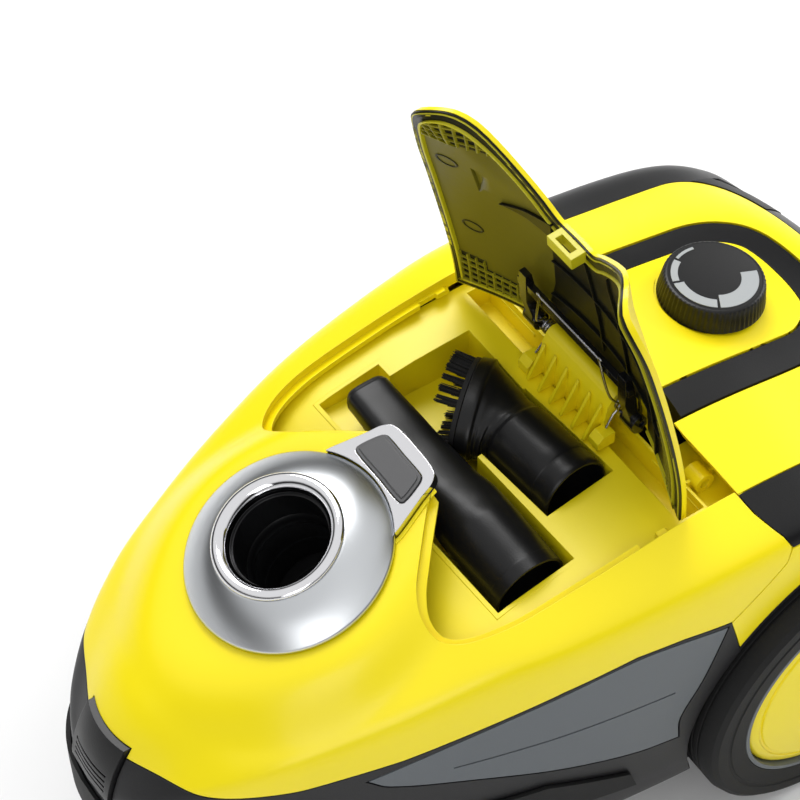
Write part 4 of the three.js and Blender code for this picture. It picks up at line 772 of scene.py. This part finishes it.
# ------------------------------------------------------------------ tools
Lc = 116.6
out = loft([(0, 8.9, 5.3, 1.5, 3.2), (1.2, 9.7, 6.1, 1.5, 3.2), (3, 10.4, 6.6, 1.5, 3.2), (34, 11.6, 8.0, 1.0, 3), (58, 13.2, 11, 0.4, 2.8), (76, 16.2, 15, 0, 2.3), (86, 16.9, 16.9, 0, 2), (Lc - 6, 16.9, 16.9, 0, 2), (Lc - 5.6, 17.0, 17.0, 0, 2), (Lc, 17.0, 17.0, 0, 2)], 72, CREV, 5)
inn = loft([(-2, 7.6, 4.2, 1.5, 3.2), (34, 9.6, 6.0, 1.0, 3), (58, 11.2, 9, 0.4, 2.8), (76, 14.2, 13, 0, 2.3), (86, 15.2, 15.2, 0, 2), (Lc + 2, 15.7, 15.7, 0, 2)], 72, CREV, 5)
piece("crevice_v", out - inn, BLK, "crevice", ["crevice_tool"], angle=30)
HC, HU, HN = np.array([-25.0, 106.6, -4.5]), np.array([0.629, -0.777, 0]), np.array([-0.777, -0.629, 0])
T0, T1, TU = np.array([37.5, 116.6, -4.6]), np.array([-2, 113.6, -4.6]), np.array([0.076, -0.997, 0])


def at(d, du=0.0):
    q = HC - HN * d + HU * du
    return np.array([q[0], q[1], HC[2]])


def loft_gen(secs, seg, sub=4):
    C = []
    for i in range(len(secs) - 1):
        a, bb = secs[i], secs[i + 1]
        for k in range(sub):
            t = k / sub
            w = t * t * (3 - 2 * t)
            C.append([a[0] * (1 - t) + bb[0] * t, a[1] * (1 - w) + bb[1] * w, a[2] * (1 - w) + bb[2] * w])
    C.append(list(secs[-1]))
    v, f = [], []
    for c, U, V in C:
        for i in range(seg):
            t = i / seg * 2 * math.pi
            v.append(c + U * math.cos(t) + V * math.sin(t))
    for k in range(len(C) - 1):
        for i in range(seg):
            f.append([k * seg + i, k * seg + (i + 1) % seg, (k + 1) * seg + (i + 1) % seg, (k + 1) * seg + i])
    f += [list(range(seg))[::-1], list(range((len(C) - 1) * seg, len(C) * seg))]
    return Solid(mesh_of(v, f))


def sec(c, u, a, bb):
    u = np.array(u, float)
    u = u / math.hypot(u[0], u[1])
    return (np.array(c, float), u * a, np.array([0, 0, bb], float))


def mixu(t):
    return HU * (1 - t) + TU * t


J = at(9, 3)
out = loft_gen([sec(at(0), HU, 25, 17), sec(at(5.6), HU, 25.4, 17.2), sec(at(7.2, 0.6), HU, 23, 16.2), sec(J * 0.65 + T1 * 0.35, mixu(0.35), 19.5, 14.6), sec(J * 0.25 + T1 * 0.75, mixu(0.75), 16.2, 14.4), sec(T1, TU, 15.6, 15.2), sec(T0 * 0.07 + T1 * 0.93, TU, 16.4, 16.4), sec(T0 * 0.74 + T1 * 0.26, TU, 16.4, 16.4), sec(T0 * 0.75 + T1 * 0.25, TU, 16.1, 16.1), sec(T0 * 0.97 + T1 * 0.03, TU, 16.5, 16.5), sec(T0, TU, 15.9, 15.9)], 72)
inn = loft_gen([sec(at(-2), HU, 19, 11.4), sec(at(6.5, 0.6), HU, 18.5, 11.4), sec(J * 0.6 + T1 * 0.4, mixu(0.4), 15.4, 12), sec(J * 0.2 + T1 * 0.8, mixu(0.8), 13.4, 12.4), sec(T0 * 0.07 + T1 * 0.93, TU, 14.2, 14.2), sec(T0 * 0.15 + T1 * 0.85, TU, 14.9, 14.9), sec(T0 * 1.06 - T1 * 0.06, TU, 14.9, 14.9)], 72)
piece("brush_v", out - inn, BLK, "brush", ["brush_tool"], angle=32)
bv, bf = [], []


def strand(p, ax, L_, r0, r1):
    base = len(bv)
    a = Vector(ax).normalized()
    u = a.orthogonal().normalized()
    w = a.cross(u)
    for h, r in ((0, r0), (0.5, r0), (1, r1)):
        for k in range(6):
            t = k / 6 * 2 * math.pi
            bv.append(tuple(Vector(p) + a * (L_ * h) + u * (r * math.cos(t)) + w * (r * math.sin(t))))
    for h in range(2):
        for k in range(6):
            bf.append([base + h * 6 + k, base + h * 6 + (k + 1) % 6, base + (h + 1) * 6 + (k + 1) % 6, base + (h + 1) * 6 + k])
    bf.append([base + k for k in range(6)][::-1])
    bf.append([base + 12 + k for k in range(6)])


for i in range(26):
    t = (i + 0.5) / 26 * 2 * math.pi
    cu, cv = 21.6 * math.cos(t), 14 * math.sin(t)
    if cu > 13:
        continue
    for k in range(30):
        q, g = 1.75 * math.sqrt(rng.uniform(0, 1)), rng.uniform(0, 2 * math.pi)
        du, dv = q * math.cos(g), q * math.sin(g)
        ax = HN + HU * (cu * 0.008 + rng.normal(0, 0.02))
        ax = np.array([ax[0], ax[1], cv * 0.014 + rng.normal(0, 0.02)])
        p0 = at(-1.2, cu + du)
        strand((p0[0], p0[1], p0[2] + cv + dv), ax, 11.6 * rng.uniform(0.90, 1.0), 0.26, 0.15)
br = Solid(mesh_of(bv, bf))
piece("bristles_v", br, RUB, "brush", ["brush_bristles"], angle=50)
ringb = loft_gen([sec(at(-2.6), HU, 24.4, 16.4), sec(at(-0.4), HU, 24.4, 16.4)], 72, 1) - loft_gen([sec(at(-4), HU, 19.6, 12), sec(at(2), HU, 19.6, 12)], 72, 1)
piece("bristle_ring_v", ringb, RUB, "brush", angle=40)

# ------------------------------------------------------------------ rear
DECK = curve(mirror_x([(0, 100), (83, 100), (83, 254), (80.5, 264), (74, 272), (64, 277.5), (50, 280), (0, 281.5)]), 5, 50)
bandLow = [(100, -1), (173, -4.6), (200, -5.4), (230, -7.4), (262, -14), (290, -24), (312, -30)]
U_OUT = curve(mirror_x([(0, 150), (46, 150), (46, 232), (44, 243), (39, 252.5), (31, 260), (20, 264), (0, 265.5)]), 5, 50)
U_IN = curve(mirror_x([(0, 140), (32, 140), (32, 231), (30, 239), (25, 246), (18, 250), (0, 251.5)]), 5, 50)


def archCut(r, x=95.6):
    return cylX(r, x, 140, WHEEL["y"], WHEEL["z"], 128) + cylX(r, -140, -x, WHEEL["y"], WHEEL["z"], 128)


bandZone = prismX(bandLow + [(312, 60), (100, 60)], -130, 130)
rear = layer(0, WALL) & rearCut & prismZ(DECK, -60, 70) & bandZone
uo = prismZ(grow(U_OUT, 1.2), -60, 70) - prismZ(grow(U_IN, -0.8), -60, 70)
uw = prismZ(grow(U_OUT, 3.4), -60, 70) - prismZ(grow(U_IN, -2.8), -60, 70)
rear = (rear + (layer(0.3, 11.4) & uw & rearCut)) - (uo - skin(9.2))
kn = tr(0, KNOB["y"], KNOB["z"]) @ rx(KNOB["tilt"])
rear = rear - ((prismZ(grow(U_IN, -3), -60, 70) & skin(-5)) - skin(9) & rearCut & box(-130, 130, 158.5, 320, -60, 60))
for s in (1, -1):
    rear = rear + (prismX([(163, 14), (168.5, 12.8), (174, 15), (178, 22), (178, 40), (163, 40)], s * 47.4, s * 50) & skin(1))
    rear = rear - cylX(2.1, s * 40, s * 51, *HANDLE_AXIS, 24)
    rear = rear - box(s * 31.2, s * 47.2, 150, 172.9, -20, 40)
rear = rear - box(-29.1, 29.1, 150, 158.6, 10, 40)
rear = rear - (layer(-1, 2.8) & prismZ(grow(U_IN, -0.8), -60, 70) & box(-60, 60, 159.0, 300, -60, 60))
strip = seamR[1:-2]
flange = prismX(strip + [(a + 2.2, b2) for a, b2 in reversed(strip)], -84, 84) & skin(0.3)
rear = rear + (flange - box(-49, 49, 140, 200, -60, 60))
piece("rear_deck_v", rear, YEL, "chassis", ["rear_deck"], angle=28)
skirt = ((layer(0, WALL) & rearCut) - prismX(shift(bandLow, 0, -0.5) + [(312, 60), (100, 60)], -130, 130)) - archCut(ARCH_R + 2.6, 92.6)
skirt = skirt - cyl(8.6, -20, 14, 48, tr(64, 292, -66) @ rx(90))
piece("rear_housing_v", skirt, YEL, "chassis", ["rear_housing"], angle=28)
band = (layer(0, WALL) & rearCut & bandZone) - prismZ(grow(DECK, 0.5), -60, 70)
for s in (1, -1):
    band = band - prismZ([(s * 41, 255), (s * 79, 255), (s * 79, 292), (s * 41, 292)], -11.8, 40)
piece("band_v", band, BLK, "chassis", ["shoulder_band"], angle=28)
for s, nm, bn in ((1, "power_pedal", "pedal_right"), (-1, "rewind_pedal", "pedal_left")):
    area = prismZ([(s * 41.6, 255), (s * 78.4, 255), (s * 78.4, 291.4), (s * 41.6, 291.4)], -7.8, 40) - prismZ(grow(DECK, 0.9), -60, 70)
    piece(nm + "_v", layer(-0.3, 2.3) & area, DRK, bn, [nm], angle=30)
p = layer(0, WALL) & prismZ(grow(U_IN, -0.85), -60, 70) & rearCut & box(-60, 60, 159.2, 300, -60, 60)
p = p - cyl(4.2, -20, 20, 48, kn) - cyl(24.6, 0.5, 20, 96, kn) - box(-13.8, 13.8, 150, 165.4, -10, 40)
for s in (1, -1):
    p = p + (prismX([(159.4, 22.6), (163.6, 22.6), (168, 25), (168, 28), (159.4, 28)], s * 13.8, s * 17) & skin(0.8))
p = p - cylX(1.6, -20, 20, *HOOD_AXIS, 24)
piece("panel_v", p, YEL, "chassis", ["control_panel"], angle=28)


def knurl(r, z, a):
    return r - (0.55 * (0.5 + 0.5 * math.cos(a * 60)) if (r > 21.0 and 2.0 < z < 11.4) else 0.0)


kb = lathe([(0, 0.9), (23.2, 0.9), (23.6, 1.3), (23.6, 2.4), (23.2, 4.5), (22.8, 7.5), (22.3, KNOB["h"] - 1.6), (21.6, KNOB["h"] - 0.5), (20.6, KNOB["h"]), (20.2, KNOB["h"] - 0.06), (0, KNOB["h"] - 0.06)], 360, kn, knurl)
piece("knob_v", kb, BLK, "power_knob", ["knob"], angle=40)
segs = []
for a0, a1, r0 in ((172, 204, 17.5), (208, 250, 15.8), (254, 325, 14.2), (329, 430, 11.4)):
    q = [(18.9 * math.cos(math.radians(a0 + (a1 - a0) * i / 24)), 18.9 * math.sin(math.radians(a0 + (a1 - a0) * i / 24))) for i in range(25)]
    q += [(r0 * math.cos(math.radians(a0 + (a1 - a0) * i / 24)), r0 * math.sin(math.radians(a0 + (a1 - a0) * i / 24))) for i in range(24, -1, -1)]
    segs.append(prismZ(q, KNOB["h"] - 0.45, KNOB["h"] + 0.06).move(kn))
piece("scale_marks_v", union(segs), PRINT, "power_knob", ["knob_scale"])
h = layer(0.3, 7.6) & (prismZ(U_OUT, -60, 70) - prismZ(U_IN, -60, 70)) & box(-60, 60, 161.6, 320, -60, 70)
h = h & prismX([(161, 14), (163, 11.8), (168.5, 10.4), (176, 10.4), (330, -30), (330, 60), (166, 60), (162.4, 24), (161, 18)], -70, 70)
for s in (1, -1):
    h = h + cylX(1.95, s * 40, s * 48.8, *HANDLE_AXIS, 24)
piece("handle_v", h, BLK, "handle", ["carry_handle"], angle=30, bevel=1.0)

# ------------------------------------------------------------------ lower housing
WING = [(141, -32.4), (120, -29.4), (98, -28.2), (66, -33.2), (30, -41.8), (2, -50), (-14, -55.5), (-6, -62), (30, -74), (70, -88), (104, -98), (123, -100), (122, -84), (131, -62)]
BUMP = [(-110, -92), (60, -96), (100, -112), (104, -124), (60, -118), (-110, -116)]
WING = curve(WING, 4, 62)
low = (layer(0, WALL) & lowerCut) - prismX(grow(WING, 0.8), -130, 130)
arch = (cylX(ARCH_R + 2.1, 93.2, 120, WHEEL["y"], WHEEL["z"], 128) + cylX(ARCH_R + 2.1, -120, -93.2, WHEEL["y"], WHEEL["z"], 128)) & skin(0.2)
low = (low + arch) - archCut(ARCH_R)
low = low + cylX(11, 78, 95.4, WHEEL["y"], WHEEL["z"]) + cylX(11, -95.4, -78, WHEEL["y"], WHEEL["z"])
low = low - cylX(5.05, 80, 99, WHEEL["y"], WHEEL["z"], 32) - cylX(5.05, -99, -80, WHEEL["y"], WHEEL["z"], 32)
low = low + ((prismX([(121, -168.4), (124, -168.4), (124, -34), (121, -34)], -112, 112) & skin(1)) - (prismX(grow(WING, 0.7), -130, 130) - skin(3.0)))
low = (low + cyl(CASTER["pocket"] + 2.4, -168.2, -144.6, 96, tr(0, CASTER["y"], 0))) - cyl(CASTER["pocket"], -180, -147, 96, tr(0, CASTER["y"], 0)) - cyl(4.1, -150, -140, 32, tr(0, CASTER["y"], 0))
low = low - box(-44, 44, 280, 310, -132, -102) - box(-15.6, 15.6, -104, -86, -82.6, -50)
for s in (1, -1):
    for k in range(7):
        low = low - (box(s * 30, s * 62, 130 + 7 * k, 133 + 7 * k, -175, -167.6))
piece("lower_v", low, DRK, "chassis", ["lower_housing"], angle=28)
for s, nm in ((1, "right"), (-1, "left")):
    wing = (layer(0, WALL) & prismX(WING, s * 40, s * 130)) - archCut(ARCH_R + 2.6)
    wing = wing - (layer(-1, 0.5) & prismX([(118, -62), (20, -60.2), (20, -61.2), (118, -63)], s * 40, s * 130))
    piece("wing_%s_v" % nm, wing, GRY, "chassis", ["side_panel_" + nm], angle=28)
piece("bumper_v", layer(-2.0, -0.4) & prismX(BUMP, -130, 130), RUB, "chassis", ["base_bumper"], angle=30)
catch = layer(-1.6, 2.0) & prismX([(-110, -82), (-86.4, -82), (-86.4, -52), (-110, -52)], -15, 15)
for k in range(4):
    catch = catch - (layer(-2.4, -1.0) & box(-12, 12, -110, -80, -78 + 3.2 * k, -76.8 + 3.2 * k))
piece("catch_v", catch, BLK, "hood_catch", ["front_latch"], angle=30)

# ------------------------------------------------------------------ wheels
for s, nm in ((1, "right"), (-1, "left")):
    at_w = tr(0, WHEEL["y"], WHEEL["z"]) @ ry(90 * s)
    r, rim, x0, x1 = WHEEL["r"], WHEEL["rim"], WHEEL["x0"], WHEEL["x1"]
    prof = [(rim, x0 + 1), (r - 4, x0), (r - 1.6, x0 + 1.8), (r, x0 + 6)]
    for g in (9, 12.6, 16.2):
        prof += [(r, x0 + g - 0.6), (r - 1.1, x0 + g - 0.3), (r - 1.1, x0 + g + 0.3), (r, x0 + g + 0.6)]
    prof += [(r, x1 - 6), (r - 1.6, x1 - 1.8), (r - 4, x1), (r - 9, x1 + 0.0), (r - 9.4, x1 - 0.5), (r - 11, x1 - 0.5), (r - 11.4, x1), (rim, x1 - 0.6), (rim, x0 + 1)]
    piece("tyre_%s_v" % nm, lathe(prof, 192, at_w), RUB, "wheel_" + nm, ["tyre_" + nm], angle=30)
    piece("rim_%s_v" % nm, lathe([(5.1, x0 + 1), (13, x0 + 1), (13, 109), (rim - 3.4, 111), (rim - 3.4, x0 + 4), (rim - 0.3, x0 + 4), (rim - 0.3, x1 - 0.6), (rim - 2.2, x1 - 0.6), (rim - 2.2, 113.8), (5.1, 113.8), (5.1, x0 + 1)], 128, at_w), GRY, "wheel_" + nm, ["rim_" + nm], angle=35)
    capp = [(0, 114.6), (rim - 2.6, 114.6), (rim - 2.6, 120.0), (rim - 3.2, 121.2), (rim - 4.8, 122.3), (rim - 8, 123.1), (rim - 8.4, 122.4), (rim - 9.6, 122.4), (rim - 10, 123.4), (36, 125.3), (20, 125.8), (19.6, 125.0), (18.2, 125.0), (17.8, 125.9), (0, 126)]
    piece("cap_%s_v" % nm, lathe(capp, 160, at_w), YEL, "wheel_" + nm, ["wheel_cap_" + nm], angle=40)

y = CASTER["y"]
ya, za = y + CASTER["trail"], FLOOR + CASTER["r"]
f = cyl(4, -151, -138.6, 32, tr(0, y, 0)) + lathe([(0, -141.4), (6, -141.4), (6, -138.6), (0, -138.6)], 32, tr(0, y, 0)) + cyl(14, -150.6, -147.6, 64, tr(0, y, 0))
for s in (1, -1):
    f = f + prismX([(y - 9, -150), (y + 16, -150), (ya + 5.5, za - 2), (ya + 3, za - 5), (ya - 3, za - 5), (ya - 6, za - 1)], s * 8.2, s * 10.8)
f = f + box(-10.8, 10.8, y - 9, y + 12, -150.4, -148.4) + cylX(2.2, -10, 10, ya, za, 32)
f = f - (cylX(19.8, -7.8, 7.8, ya, za, 64) - cylX(2.2, -20, 20, ya, za, 32))
piece("fork_v", f, DRK, "swivel", ["caster_fork"], angle=30)
piece("caster_v", lathe([(2.3, -6.6), (12, -6.6), (12.4, -5.9), (14, -5.9), (14.4, -6.6), (17, -6.6), (18.4, -5.9), (19, -4.6), (19, 4.6), (18.4, 5.9), (17, 6.6), (14.4, 6.6), (14, 5.9), (12.4, 5.9), (12, 6.6), (2.3, 6.6), (2.3, -6.6)], 96, tr(0, ya, za) @ AXX), RUB, "swivel_wheel", ["caster_wheel"], angle=35)

# ------------------------------------------------------------------ dust bag: a crowned paper pouch with a folded seam
bag = []
NU, NV = 72, 36
for j in range(NV + 1):
    ph = -math.pi / 2 + math.pi * j / NV
    for i in range(NU):
        th = 2 * math.pi * i / NU
        cx = math.copysign(abs(math.cos(th))**0.62, math.cos(th))
        cy = math.copysign(abs(math.sin(th))**0.62, math.sin(th))
        c = math.cos(ph)**0.55 if abs(math.cos(ph)) > 1e-9 else 0
        w = 1 - 0.018 * math.sin(11 * th + 2 * ph) - 0.012 * math.sin(5 * th - 7 * ph) - 0.05 * math.exp(-((ph) / 0.10)**2)
        zz = -108 + 33 * math.copysign(abs(math.sin(ph))**0.8, math.sin(ph)) * (1 - 0.03 * math.sin(6 * th))
        bag.append((62 * cx * c * w, 25 + 69 * cy * c * w, zz))
bfc = []
for j in range(NV):
    for i in range(NU):
        a, b2 = j * NU + i, j * NU + (i + 1) % NU
        bfc.append([a, b2, b2 + NU, a + NU])
me = bpy.data.meshes.new("bag")
me.from_pydata([tuple(q) for q in bag], [], bfc)
bm = bmesh.new()
bm.from_mesh(me)
bmesh.ops.remove_doubles(bm, verts=bm.verts, dist=1e-4)
bmesh.ops.recalc_face_normals(bm, faces=bm.faces)
bm.to_mesh(me)
bm.free()
bago = piece("bag_v", Solid(me), PAP, "chassis", ["dust_bag"], angle=60)

# ------------------------------------------------------------------ pieces kept as packed, with their own finishes
KEEP = {"hood_hinge_pin": WIRE, "knob_shaft": WIRE, "chamber_seal": RUB, "axle_right": WIRE, "axle_left": WIRE, "bag_holder": DRK, "motor_housing": DRK,
        "fan_rotor": ROT, "motor_mount_front": RUB, "motor_filter": FELT, "exhaust_grille": BLK, "cord_drum": MID, "reel_spindle": WIRE, "circuit_board": PCB, "cord_outlet": BLK}
for n, m in KEEP.items():
    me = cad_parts[n].data
    me.materials.clear()
    me.materials.append(m)

# ------------------------------------------------------------------ stage, light, camera
fm = material("floor", (0.86, 0.86, 0.86), 0.6, grain=60, bump=0.02, vary=0.02, edge=0.0, spec=0.3)
bpy.ops.mesh.primitive_plane_add(size=14, location=(0, 0, 0))
floor = bpy.context.object
floor.name = "floor"
floor.data.materials.append(fm)

cam = bpy.data.cameras.new("cam")
cam.lens, cam.sensor_width = 111.285, 36.0
cam.clip_start, cam.clip_end = 0.05, 60
co = bpy.data.objects.new("cam", cam)
co.matrix_world = Matrix(((0.5551, -0.6370, 0.5349, 0.5210), (0.8318, 0.4251, -0.3570, -0.3925), (0.0, 0.6431, 0.7658, 0.9961), (0, 0, 0, 1)))
scene.collection.objects.link(co)
scene.camera = co


def area(name, loc, target, size, power, size_y=None):
    l = bpy.data.lights.new(name, "AREA")
    l.shape = "RECTANGLE"
    l.size, l.size_y, l.energy = size, size_y or size, power
    o = bpy.data.objects.new(name, l)
    o.location = loc
    o.rotation_euler = (Vector(target) - Vector(loc)).to_track_quat("-Z", "Y").to_euler()
    scene.collection.objects.link(o)


area("key", (-1.1, 0.4, 1.9), (0, 0, 0.15), 1.1, 28)
area("fill", (1.5, -1.3, 1.3), (0, 0, 0.15), 1.1, 10)
area("back", (0.2, 2.0, 1.1), (0, 0, 0.2), 1.2, 18, 0.5)
world = bpy.data.worlds.new("w")
world.use_nodes = True
wn, wl = world.node_tree.nodes, world.node_tree.links
bg = next(n for n in wn if n.type == "BACKGROUND")
wt = wn.new("ShaderNodeTexCoord")
ws = wn.new("ShaderNodeSeparateXYZ")
wl.new(wt.outputs["Generated"], ws.inputs["Vector"])
wr = wn.new("ShaderNodeValToRGB")
cr = wr.color_ramp
cr.elements[0].position, cr.elements[0].color = 0.0, (0.8, 0.8, 0.8, 1)
cr.elements[1].position, cr.elements[1].color = 1.0, (1, 1, 1, 1)
for pos, v in ((0.10, 0.8), (0.17, 0.04), (0.44, 0.04), (0.52, 0.75), (0.66, 1.0)):
    e = cr.elements.new(pos)
    e.color = (v, v, v, 1)
wl.new(ws.outputs["Z"], wr.inputs["Fac"])
wl.new(wr.outputs["Color"], bg.inputs["Color"])
bg.inputs["Strength"].default_value = 0.90
scene.world = world
scene.view_settings.view_transform = "Standard"
